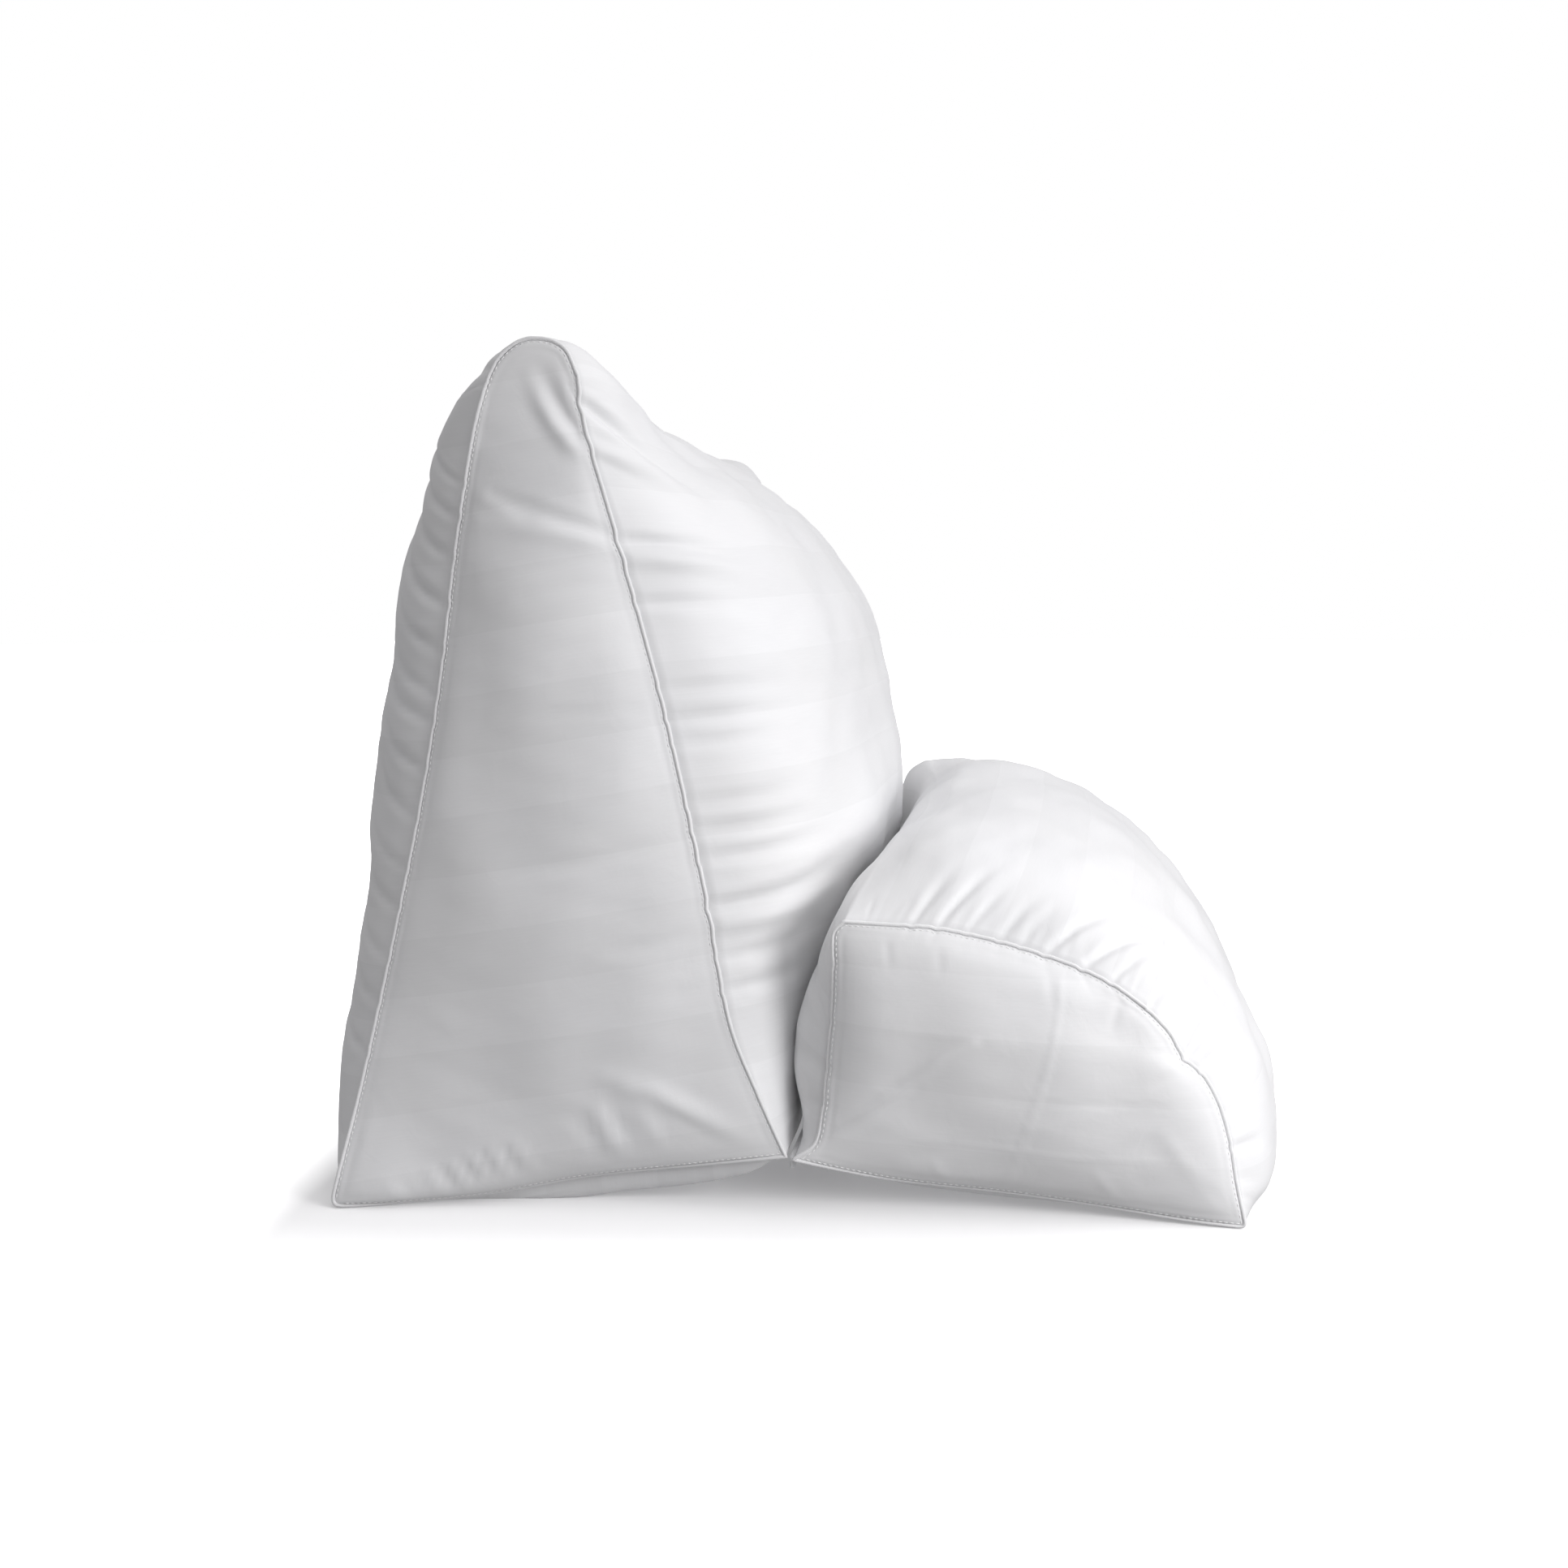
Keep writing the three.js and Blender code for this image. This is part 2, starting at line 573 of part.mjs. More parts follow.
const wedge = buildCushion(WEDGE, WEDGE_FORM, WEDGE_PUCKERS, WEDGE_FOLDS, 3);
const bolster = buildCushion(BOLSTER, BOLSTER_FORM, BOLSTER_PUCKERS, BOLSTER_FOLDS, 11);
wedge.farFolds = WEDGE_FOLDS.slice(3, 12);
bolster.farFolds = BOLSTER_FOLDS.slice(0, 4);

const group = new THREE.Group();
const pieces = [
  ['wedge_cushion', cushionGeometry(wedge), CLOTH],
  ['bolster_cushion', cushionGeometry(bolster), CLOTH],
  ['wedge_welt_near', weltGeometry(wedge, 0), PIPING],
  ['wedge_welt_far', weltGeometry(wedge, 1), PIPING],
  ['bolster_welt_near', weltGeometry(bolster, 0), PIPING],
  ['bolster_welt_far', weltGeometry(bolster, 1), PIPING],
];
const join = new THREE.BoxGeometry(JOIN_WIDTH, 2 * JOIN_HALF_LENGTH, JOIN_HEAD - JOIN_FOOT);
join.translate(JOIN_AXIS_X, 0, (JOIN_HEAD + JOIN_FOOT) / 2);
pieces.push(['joining_seam', join, CLOTH]);

// The origin is the middle of the footprint, on the floor.
const box = new THREE.Box3();
pieces.forEach(([, g]) => {
  g.computeBoundingBox();
  box.union(g.boundingBox);
});
const middle = box.getCenter(new THREE.Vector3());
for (const [name, geometry, material] of pieces) {
  const mesh = new THREE.Mesh(geometry, material);
  mesh.name = name;
  mesh.position.set(-middle.x, -middle.y, -box.min.z);
  group.add(mesh);
}

export default group;
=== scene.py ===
"""Back-rest pillow: a tall wedge and a low bolster sewn along one bottom edge.

Metres in the model's frame, +Z up. The tables are in millimetres, with X = 0
at the joining seam, Y = 0 half way along and Z = 0 on the floor.
"""

import math

import bpy
import numpy as np
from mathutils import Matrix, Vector
from mathutils.bvhtree import BVHTree
from mathutils.kdtree import KDTree


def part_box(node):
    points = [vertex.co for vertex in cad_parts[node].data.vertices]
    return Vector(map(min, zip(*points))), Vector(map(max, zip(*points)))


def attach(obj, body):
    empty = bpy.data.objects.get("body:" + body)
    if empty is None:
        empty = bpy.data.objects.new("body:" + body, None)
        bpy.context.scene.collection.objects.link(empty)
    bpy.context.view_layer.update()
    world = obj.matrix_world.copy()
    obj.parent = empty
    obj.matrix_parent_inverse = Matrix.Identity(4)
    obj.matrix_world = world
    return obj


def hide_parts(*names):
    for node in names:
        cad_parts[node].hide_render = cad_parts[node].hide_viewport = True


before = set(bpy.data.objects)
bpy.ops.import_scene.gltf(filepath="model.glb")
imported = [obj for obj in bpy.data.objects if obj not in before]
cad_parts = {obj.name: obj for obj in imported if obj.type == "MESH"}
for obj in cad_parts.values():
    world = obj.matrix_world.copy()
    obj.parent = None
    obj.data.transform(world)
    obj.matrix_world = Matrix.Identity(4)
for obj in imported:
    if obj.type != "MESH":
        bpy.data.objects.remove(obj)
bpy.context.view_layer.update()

MM = 0.001
HALF_LENGTH = 306.0  # from the middle to each end seam
SEAM_DRAW = 12.0  # how far the middle of an end seam is drawn in
# Distances over which a form starts, peaks or dies away.
DRAW_REACH = 70.0
FOOT_REACH = 55.0
EDGE_FADE = 7.0
SWELL_START = 12.0
FACING_START = 11.0
FACING_HOLD = 25.0
FACING_FADE = 85.0
SAG_START = 3.5
SAG_PEAK = 7.0
SAG_WIDTH = 19.0
LEAN_PEAK = 30.0
LEAN_WIDTH = 50.0
POWER_BLEND = 20.0
FIRST_ROW = 3.3
FIRST_STEP = 1.5
LAST_STEP = 13.0
WELT_RADIUS = 1.15
WELT_PROUD = 0.15
GROOVE_HALF = 1.0
GROOVE_DEPTH = 0.95
JOIN_AXIS_X = -0.5
JOIN_HEIGHT = 38.0
JOIN_SHARE = 0.75  # of the solid seam's height
JOIN_DROP = 1.2
BAND = 36.5  # width of one woven stripe
WARP_PITCH = 0.55
WEFT_PITCH = 0.6
RIB_PITCH = 1.6
SIDES = ["back", "cap", "front", "base"]
BASE = SIDES.index("base")
CROWDING = {"back": 0.45, "cap": 0.6, "front": 0.45, "base": 0.6}

CORD_SIDES = 12
THREAD_SIDES = 6
THREAD_RADIUS = 0.28
STITCH_PITCH = 3.6
STITCH_LENGTH = 2.5
STITCH_INSET = 1.2  # from the edge of the groove
# Place along a stitch, share of its radius and lift in radii, from end to end.
STITCH = [(-0.5, 0.25, -0.9), (-0.34, 0.9, 0.0), (0.0, 1.0, 0.35), (0.34, 0.9, 0.0), (0.5, 0.25, -0.9)]

DULL_STRIPE = (0.8, 0.802, 0.808)
SHINY_STRIPE = (0.826, 0.828, 0.835)
COOL_TINT = (0.97, 0.975, 0.985)
WARM_TINT = (1.0, 0.995, 0.985)
DARK_CORD = (0.75, 0.75, 0.757)
LIGHT_CORD = (0.82, 0.82, 0.824)
DARK_THREAD = (0.84, 0.84, 0.84)
LIGHT_THREAD = (0.93, 0.93, 0.93)

# Stage, light and camera, in metres.
# The floor's painted glow starts this far out, along each axis.
GLOW_START = 0.3  # from the middle of the floor
FLOOR_RADIUS = 14.0
BACKDROP_RADIUS = 13.8
# Bands of sky from below the horizon to overhead: where each one fades in and out,
# and its level from the right, from the left, from the front and from behind.
SKY = [
    ((-1.2, -1.1, -0.1, 0.04), (0.0, 0.05, 0.4, 0.3)),
    ((-0.1, 0.04, 0.24, 0.5), (0.0, 0.05, 0.0, 0.4)),
    ((0.24, 0.5, 1.1, 1.2), (1.55, 0.1, 0.0, 0.1)),
]
SKY_TINT = (1.0, 0.993, 1.008)
LAMP_TINT = (1.0, 0.992, 1.0)
AIM = (0, 0, 0.2)
CAMERA_PLACE = (0.155, -1.28613, 0.382)  # from the joining seam
CAMERA_TILT = 6.473  # degrees down
CAMERA_TURN = 4.5
CAMERA_SHIFT = -0.0842
SENSOR = 36
FOCAL_PIXELS = 2036
IMAGE_PIXELS = 1932

# Each side of a cushion runs clockwise, seen from the near end. A row holds the (x, z)
# of a point on the end seam and of the point that it swells to half way along.
WEDGE = {
    "back": [
        ((-290, 1), (-304, -4)),
        ((-271, 92), (-324, 58)),
        ((-250, 178), (-314, 150)),
        ((-232, 254), (-305, 240)),
        ((-217, 330), (-294, 330)),
        ((-204, 410), (-278, 408)),
        ((-188, 480), (-246, 466)),
        ((-180, 504), (-222, 490)),
    ],
    "cap": [
        ((-180, 504), (-222, 490)),
        ((-172, 521), (-198, 497)),
        ((-159, 532), (-168, 498)),
        ((-145, 534), (-140, 496)),
        ((-131, 528), (-114, 492)),
        ((-123, 512), (-92, 482)),
    ],
    "front": [
        ((-123, 512), (-92, 482)),
        ((-121, 488), (-50, 455)),
        ((-104, 418), (-8, 404)),
        ((-78, 316), (20, 328)),
        ((-55, 208), (30, 240)),
        ((-38, 117), (22, 160)),
        ((-21, 76), (8, 90)),
        ((-3, 38), (-3, 40)),
    ],
    "base": [
        ((-3, 38), (-3, 40)),
        ((-60, 29), (-50, 3)),
        ((-130, 18.5), (-122, -10)),
        ((-200, 5), (-192, -36)),
        ((-290, 1), (-304, -4)),
    ],
}

BOLSTER = {
    "back": [
        ((2, 36), (2, 38)),
        ((15, 46), (8, 70)),
        ((20, 67), (15, 105)),
        ((23, 98), (23, 140)),
        ((26, 133), (32.65, 172)),
        ((27, 160), (42.6, 198)),
        ((28, 180), (52.95, 216)),
        ((34, 186), (66.925, 229)),
    ],
    "cap": [
        ((34, 186), (66.925, 229)),
        ((64, 184), (84, 240)),
        ((88, 182), (112, 243)),
        ((123, 175), (138, 240)),
        ((152, 167), (165, 232)),
        ((176, 159), (192, 219)),
        ((198, 149), (218, 202)),
        ((217, 136), (240, 184)),
    ],
    "front": [
        ((217, 136), (240, 184)),
        ((231, 121), (264, 156)),
        ((240, 105), (284, 126)),
        ((252, 94), (300, 94)),
        ((262, 76), (313, 64)),
        ((269, 52), (318, 38)),
        ((273, 28), (316, 10)),
        ((279, 1), (294, -6)),
    ],
    "base": [
        ((279, 1), (294, -6)),
        ((237, 4), (215, -18)),
        ((188, 9.5), (150, -24)),
        ((133, 15.5), (95, -20)),
        ((63, 23), (45, -8)),
        ((2, 36), (2, 38)),
    ],
}

# How each cushion fills out. "power" squares the swell along the length, "ear" holds the
# swell back at the four corners, "farTop" is the far end's height as a share of the near
# end's, "shoulders" are humps beside a corner, "crown" and "dome" shape the end panels,
# and "fullWidth" is the width from which they have their whole crown. "sideBulge" swells
# the inner side near the ends, "drop" and "sag" shape the underside, "foot" draws the
# outer lower corner out lengthwise, "worn" rounds a corner off, "facing" is the swell of
# one side at some heights, and "lap" is the end panel's bulge over its lower seam.
WEDGE_FORM = {
    "power": {"back": 2.5, "cap": 1.8, "front": 2.4, "base": 1.9},
    "ear": [
        {"hold": 0.2, "reach": 10},
        {"hold": 0.05, "reach": 40},
        {"hold": 0.95, "reach": 60},
        {"hold": 1.0, "reach": 40},
    ],
    "farTop": 0.945,
    "shoulders": [
        {"corner": 1, "high": 10, "wide": 45, "peak": 26, "farShare": 0.4},
        {"corner": 2, "high": 11, "wide": 46, "peak": 37, "farShare": 0.3},
    ],
    "crown": 35,
    "dome": (1.12, 0.5),
    "fullWidth": 250,
    "sideBulge": 0,
    "drop": 8,
    "sag": 11,
    "foot": 10,
    "worn": {0: 9},
    "facing": (2, (38, 52, 140, 215, 262, 320), (0, 4.5, 4.5, 7, 4.5, 0)),
    "lap": {"high": 6, "until": -150, "fade": 80, "tall": 18},
}

BOLSTER_FORM = {
    "power": {"back": 2.4, "cap": 2.4, "front": 2.5, "base": 1.8},
    "ear": [
        {"hold": 1.0, "reach": 30},
        {"hold": 0.6, "reach": 30},
        {"hold": 0.0, "reach": 30},
        {"hold": 0.4, "reach": 10},
    ],
    "farTop": 1.12,
    "shoulders": [
        {"corner": 1, "high": 3, "wide": 36, "peak": 28, "farShare": 4},
    ],
    "crown": 31,
    "dome": (0.7, 0.8),
    "fullWidth": 230,
    "sideBulge": 19,
    "drop": 12,
    "sag": 0,
    "foot": 0,
    "worn": {3: 5},
    "facing": (0, (36, 45, 80, 140, 184), (0, -4.5, -5, -2.5, 0)),
    "lap": None,
}

# Gathers of the side strip: side, place along it, slant, reach, half width and height.
WEDGE_PUCKERS = [
    ("back", 96, 0.5, 26, 6, -2.2),
    ("back", 130, 0.5, 24, 6, -2.0),
    ("back", 159, 0.6, 26, 6, -2.4),
    ("back", 192, 0.6, 30, 6, -2.6),
    ("back", 218, 0.6, 26, 5, -2.2),
    ("back", 251, 0.7, 30, 6, -2.6),
    ("back", 281, 0.7, 30, 6, -2.8),
    ("back", 312, 0.6, 34, 7, -3.0),
    ("back", 329, 0.7, 26, 5, -2.0),
    ("back", 356, 0.7, 30, 6, -2.8),
    ("back", 384, 0.8, 36, 7, -3.6),
    ("back", 413, 0.8, 30, 6, -2.6),
    ("back", 438, 0.8, 30, 6, -3.0),
    ("back", 458, 0.9, 26, 5, -2.4),
    ("front", 16, 0.55, 46, 8, -4.6),
    ("front", 42, 0.35, 44, 9, 3.0),
    ("front", 99, 0.12, 60, 7, -3.6),
    ("front", 111, 0.12, 54, 8, 3.0),
    ("front", 138, 0.1, 40, 6, -2.4),
    ("front", 192, 0.05, 44, 6, -2.4),
    ("front", 210, 0.0, 36, 5, -2.4),
    ("front", 226, 0.0, 30, 5, -1.8),
    ("front", 264, -0.05, 38, 6, -2.6),
    ("front", 281, -0.05, 44, 6, -2.8),
    ("front", 299, -0.1, 46, 6, -2.8),
    ("front", 329, -0.12, 70, 8, -4.2),
    ("front", 342, -0.12, 60, 8, 2.6),
    ("front", 362, -0.1, 34, 6, -2.2),
    ("front", 382, -0.1, 34, 6, -2.2),
]

BOLSTER_PUCKERS = [
    ("cap", 41, 0.3, 28, 5, -2.6),
    ("cap", 56, 0.5, 34, 5, -3.0),
    ("cap", 74, 0.5, 22, 4, -2.0),
    ("cap", 94, 0.5, 24, 5, -2.4),
    ("cap", 108, 0.4, 18, 4, -1.8),
    ("cap", 123, 0.8, 38, 6, -3.2),
    ("cap", 147, 0.9, 42, 6, -3.4),
    ("cap", 166, 0.6, 30, 5, -2.8),
    ("front", 0, 0.4, 36, 6, -3.0),
    ("front", 40, -0.1, 42, 5, -4.4),
    ("front", 52, 0.0, 34, 4, -3.0),
    ("front", 104, 0.1, 30, 5, -2.2),
]

# Broad folds of the end panels: path of (x, z) points, half width and height.
WEDGE_BROAD = [
    ([(-192, 446), (-164, 431)], 5, 2.0),
    ([(-176, 394), (-115, 407)], 6, -1.2),
    ([(-190, 307), (-136, 313), (-76, 315)], 2.2, -1.4),
    ([(-176, 213), (-128, 220), (-58, 236)], 5, -1.5),
    ([(-107, 165), (-44, 178)], 5, -1.6),
    ([(-72, 137), (-38, 147)], 4, -1.4),
    ([(-114, 85), (-61, 60), (-14, 38)], 7, 3.2),
]

WEDGE_FAR = [
    ([(-186, 428), (-152, 418), (-101, 408)], 8, 3.2),
    *WEDGE_BROAD,
    ([(-112, 75), (-45, 41)], 5, -2.8),
]

BOLSTER_FAR = [
    ([(6, 40), (22, 47), (46, 61), (72, 79), (124, 105)], 6, 3.4),
    ([(22, 58), (48, 78), (82, 96)], 6, -2.2),
    ([(26, 38), (62, 56), (102, 80)], 7, -2.0),
    ([(166, 165), (162, 123), (152, 81), (132, 22)], 2.6, 1.2),
]

# Narrow folds of the near end panels.
WEDGE_FINE = [
    ([(-153, 514), (-147, 499), (-139, 485), (-130, 473), (-117, 466)], 5.5, 3.0),
    ([(-144, 514), (-138, 501), (-131, 489), (-123, 479), (-115, 475)], 4.5, -3.1),
    ([(-136, 519), (-131, 508), (-126, 497)], 4.5, 1.6),
    ([(-128, 520), (-121, 505), (-117, 492)], 3.5, -0.9),
    ([(-186, 427), (-166, 424), (-146, 420), (-123, 416), (-100, 413)], 6.0, 2.2),
    ([(-176, 442), (-154, 435), (-132, 427), (-111, 421), (-98, 419)], 4.5, -2.7),
    ([(-196, 449), (-176, 438), (-154, 430)], 5.0, -1.3),
    ([(-276, 12), (-272, 34), (-266, 60)], 4.0, 1.4),
    ([(-160, 382), (-128, 388), (-100, 390)], 3.5, -0.7),
    ([(-168, 345), (-130, 352), (-92, 356)], 3.5, -0.6),
    ([(-92, 283), (-74, 284)], 2.5, -0.8),
    ([(-84, 262), (-66, 262)], 2.5, -0.8),
    ([(-106, 190), (-58, 198)], 3.0, -0.8),
    ([(-90, 150), (-46, 158)], 3.0, -0.7),
]

# Folds that fan out from the joining seam and the gathers along the lower seam.
WEDGE_FOOT = [
    ([(-101, 84), (-79, 75), (-52, 62), (-29, 50), (-12, 41)], 7.0, 2.6),
    ([(-96, 78), (-75, 64), (-52, 52), (-34, 44)], 5.0, -2.0),
    ([(-121, 65), (-112, 47), (-105, 33)], 4.5, 3.0),
    ([(-112, 68), (-104, 51), (-98, 38)], 4.0, -2.0),
    ([(-95, 66), (-87, 53), (-80, 40)], 4.5, 2.2),
    ([(-133, 60), (-125, 45), (-119, 31)], 4.5, -2.0),
    ([(-254, 17), (-246, 5)], 3.4, 3.4),
    ([(-242, 17), (-237, 5)], 3.2, -2.4),
    ([(-229, 24), (-219, 7)], 3.4, 3.8),
    ([(-221, 25), (-211, 9)], 3.0, -2.6),
    ([(-214, 29), (-202, 11)], 3.4, 3.6),
    ([(-207, 30), (-197, 15)], 3.0, -2.5),
    ([(-201, 34), (-191, 15)], 3.2, 3.5),
    ([(-194, 35), (-185, 17)], 3.0, -2.5),
    ([(-189, 39), (-179, 17)], 3.4, 3.8),
    ([(-182, 40), (-171, 20)], 3.0, -2.5),
    ([(-175, 42), (-162, 22)], 3.4, 3.2),
]

BOLSTER_FINE = [
    ([(2, 40), (21, 53), (45, 68), (70, 85), (94, 104), (114, 116)], 3.4, 3.0),
    ([(10, 40), (32, 54), (55, 67), (79, 85)], 4.5, -1.8),
    ([(24, 58), (44, 72), (66, 88)], 4.0, -1.2),
    ([(166, 165), (165, 140), (161, 115), (154, 88), (144, 55), (132, 20)], 1.7, 0.75),
    ([(132, 81), (188, 80), (256, 78)], 1.6, -0.55),
    ([(51, 123), (176, 115)], 1.6, 0.2),
    ([(75, 53), (116, 51), (176, 45), (264, 43)], 1.6, 0.4),
    ([(60, 178), (62, 160)], 3.0, -0.7),
    ([(92, 174), (93, 158)], 3.0, -0.6),
    ([(158, 160), (160, 140)], 3.0, -0.6),
    ([(202, 142), (196, 126)], 3.5, -0.9),
    ([(236, 100), (222, 92)], 3.5, -1.0),
    ([(262, 20), (240, 44), (228, 60)], 6.0, 1.2),
    ([(270, 12), (252, 30)], 4.0, -1.0),
    ([(200, 16), (188, 34)], 3.5, 0.7),
    ([(96, 24), (88, 40)], 3.5, 0.6),
]


def scatter(i, salt):
    """A repeatable number from 0 to 1."""
    s = math.sin(i * 12.9898 + salt * 78.233) * 43758.5453
    return s - math.floor(s)


def waves(points, salt, shortest, longest, count=26):
    """Smooth repeatable noise, about -1 to 1, from sines in random directions."""
    rng = np.random.default_rng(salt)
    total = np.zeros(points.shape[:-1])
    for _ in range(count):
        d = rng.normal(size=3)
        d /= np.linalg.norm(d)
        length = shortest * (longest / shortest) ** rng.random()
        weight = (length / longest) ** 0.5
        total += weight * np.sin(2 * np.pi * (points @ d) / length + 2 * np.pi * rng.random())
    return total / math.sqrt(count / 2)


def spread(n, k):
    """n + 1 fractions from 0 to 1, closer together near both ends."""
    u = np.arange(n + 1) / n
    return u - k * np.sin(2 * np.pi * u) / (2 * np.pi)


def arc_lengths(points):
    """Length along a row of points, from 0 at the first one."""
    return np.concatenate([[0], np.cumsum(np.linalg.norm(np.diff(points, axis=0), axis=1))])


def side_curve(rows, key, fractions):
    """Points at arc fractions of the centripetal curve through one side's points."""
    p = np.array([row[key] for row in rows], float)
    p = np.vstack([2 * p[0] - p[1], p, 2 * p[-1] - p[-2]])
    dense = []
    for i in range(1, len(p) - 2):
        p0, p1, p2, p3 = p[i - 1 : i + 3]
        pairs = ((p0, p1), (p1, p2), (p2, p3))
        d0, d1, d2 = (max(1e-4, float(((b - a) ** 2).sum()) ** 0.25) for a, b in pairs)
        t1 = ((p1 - p0) / d0 - (p2 - p0) / (d0 + d1) + (p2 - p1) / d1) * d1
        t2 = ((p2 - p1) / d1 - (p3 - p1) / (d1 + d2) + (p3 - p2) / d2) * d1
        t = np.linspace(0, 1, 120, endpoint=i == len(p) - 3)[:, None]
        square = 3 * (p2 - p1) - 2 * t1 - t2
        cube = 2 * (p1 - p2) + t1 + t2
        dense.append(p1 + t1 * t + square * t**2 + cube * t**3)
    dense = np.vstack(dense)
    run = arc_lengths(dense)
    at = fractions * run[-1]
    return np.stack([np.interp(at, run, dense[:, 0]), np.interp(at, run, dense[:, 1])], 1)


def ring_normals(ring):
    """Outward directions in the end plane, and how far a corner lengthens them."""
    before = ring - np.roll(ring, 1, 0)
    after = np.roll(ring, -1, 0) - ring
    before = before / np.maximum(1e-9, np.hypot(*before.T))[:, None]
    after = after / np.maximum(1e-9, np.hypot(*after.T))[:, None]
    m = np.stack([-(before[:, 1] + after[:, 1]), before[:, 0] + after[:, 0]], 1)
    m /= np.maximum(1e-9, np.hypot(*m.T))[:, None]
    cos = np.maximum(0.58, m[:, 0] * -before[:, 1] + m[:, 1] * before[:, 0])
    return m, 1 / cos


def rounded(points, run, corner, size):
    """A closed ring with one corner worn round, over about size."""
    whole = run[-1] + np.linalg.norm(points[0] - points[-1])
    d = np.abs((run - corner + whole / 2) % whole - whole / 2)
    weight = np.exp(-((d / size) ** 4))[:, None]
    closed = np.vstack([points, points, points, points[:1]])
    arcs = np.concatenate([run - whole, run, run + whole, [2 * whole]])
    total, norm = np.zeros_like(points), 0.0
    for t in np.linspace(-1.6, 1.6, 17):
        w = math.exp(-((t / 0.8) ** 2))
        at = run + t * size
        total += w * np.stack([np.interp(at, arcs, closed[:, k]) for k in (0, 1)], 1)
        norm += w
    return points * (1 - weight) + total / norm * weight


def columns(sides, form, steps):
    """Everything that varies round the end outline, one entry for each ring column."""
    parts = {k: [] for k in ("side", "along", "end", "mid", "free", "power", "draw", "bulge")}
    crest = []
    lengths = []
    for k, side in enumerate(SIDES):
        n = steps[side]
        f = spread(n, CROWDING[side])
        end = side_curve(sides[side], 0, f)
        mid = side_curve(sides[side], 1, f)
        run = arc_lengths(end)
        whole = run[-1]
        a = run[:-1]
        b = whole - a
        near, after = form["ear"][k], form["ear"][(k + 1) % 4]
        here = form["power"][side]
        p0, p1 = form["power"][SIDES[k - 1]], form["power"][SIDES[(k + 1) % 4]]
        parts["side"].append(np.full(n, k))
        parts["along"].append(a)
        parts["end"].append(end[:-1])
        parts["mid"].append(mid[:-1])
        parts["free"].append(
            (1 - near["hold"] * np.exp(-((a / near["reach"]) ** 1.5)))
            * (1 - after["hold"] * np.exp(-((b / after["reach"]) ** 1.5)))
        )
        parts["power"].append(
            here
            + (p0 - here) * 0.5 * np.exp(-((a / POWER_BLEND) ** 2))
            + (p1 - here) * 0.5 * np.exp(-((b / POWER_BLEND) ** 2))
        )
        draw = SEAM_DRAW * (1 - np.exp(-((a / DRAW_REACH) ** 1.5))) * (1 - np.exp(-((b / DRAW_REACH) ** 1.5)))
        if side in ("back", "base"):
            to_foot = a if side == "back" else b
            draw = draw - form["foot"] * np.exp(-((to_foot / FOOT_REACH) ** 2))
        parts["draw"].append(draw)
        parts["bulge"].append(form["sideBulge"] * np.sin(np.pi * a / whole) if k == 0 else np.zeros(n))
        row = []
        for s in form["shoulders"]:
            if s["corner"] == k:
                row.append(np.exp(-((a / s["wide"]) ** 2)))
            elif s["corner"] == k + 1:
                row.append(np.exp(-((b / s["wide"]) ** 2)))
            else:
                row.append(np.zeros(n))
        crest.append(np.array(row).reshape(len(form["shoulders"]), n))
        lengths.append(whole)
    cols = {k: np.concatenate(v) for k, v in parts.items()}
    cols["crest"] = np.concatenate(crest, axis=1)
    cols["lengths"] = lengths
    cols["total"] = cols["along"] + np.concatenate([[0], np.cumsum(lengths)[:-1]])[cols["side"]]
    starts = np.concatenate([[0], np.cumsum(lengths)])
    for corner in form["worn"]:
        cols["end"] = rounded(cols["end"], cols["total"], starts[corner], form["worn"][corner])
    cols["normal"], _ = ring_normals(cols["end"])
    to_join = np.hypot(cols["end"][:, 0], cols["end"][:, 1] - JOIN_HEIGHT)
    sag = form["sag"] * (1 - np.exp(-((to_join / SAG_WIDTH) ** 2)))
    cols["sag"] = np.where(cols["side"] == BASE, sag, 0)
    facing, heights, swell = form["facing"]
    cols["swell"] = np.where(cols["side"] == facing, np.interp(cols["end"][:, 1], heights, swell), 0)
    cols["all along"] = np.interp(cols["end"][:, 1], (140, 190), (0.0, 1.0))
    return cols


def gusset_ring(cols, form, end, away):
    """The plain ring at one distance away from the near (-1) or the far (1) end seam."""
    v = end * (1 - away / HALF_LENGTH)
    size = abs(v)
    start = np.where(cols["side"] == BASE, form["drop"], SWELL_START)
    full = (1 - size ** cols["power"]) ** (1 / cols["power"]) * (1 - np.exp(-away / start)) ** 0.8
    g = (1 - size**1.7) * (1 - cols["free"]) + full * cols["free"]
    lift = 1 - (v + 1) / 2 * (1 - form["farTop"])
    lean = cols["bulge"] * (1 - math.exp(-away / SWELL_START))
    lean *= math.exp(-(((away - LEAN_PEAK) / LEAN_WIDTH) ** 2))
    rise = np.zeros(len(g))
    for s, crest in zip(form["shoulders"], cols["crest"]):
        share = 1 if end < 0 else s["farShare"]
        rise += s["high"] * crest * share * (away / s["peak"]) * math.exp(1 - away / s["peak"])
    x = cols["end"][:, 0] * (1 - g) + cols["mid"][:, 0] * g - lean + cols["normal"][:, 0] * rise
    fade = math.exp(-((max(0.0, away - FACING_HOLD) / FACING_FADE) ** 2))
    x += cols["swell"] * (1 - math.exp(-away / FACING_START)) * (fade + (1 - fade) * cols["all along"])
    z = cols["end"][:, 1] * lift * (1 - g) + cols["mid"][:, 1] * g + cols["normal"][:, 1] * rise
    past = max(0.0, away - SAG_START) / SAG_PEAK
    z -= cols["sag"] * past * math.exp(1 - past)
    y = end * (HALF_LENGTH - away - cols["draw"] * size**3)
    return np.stack([x, y, z], 1)


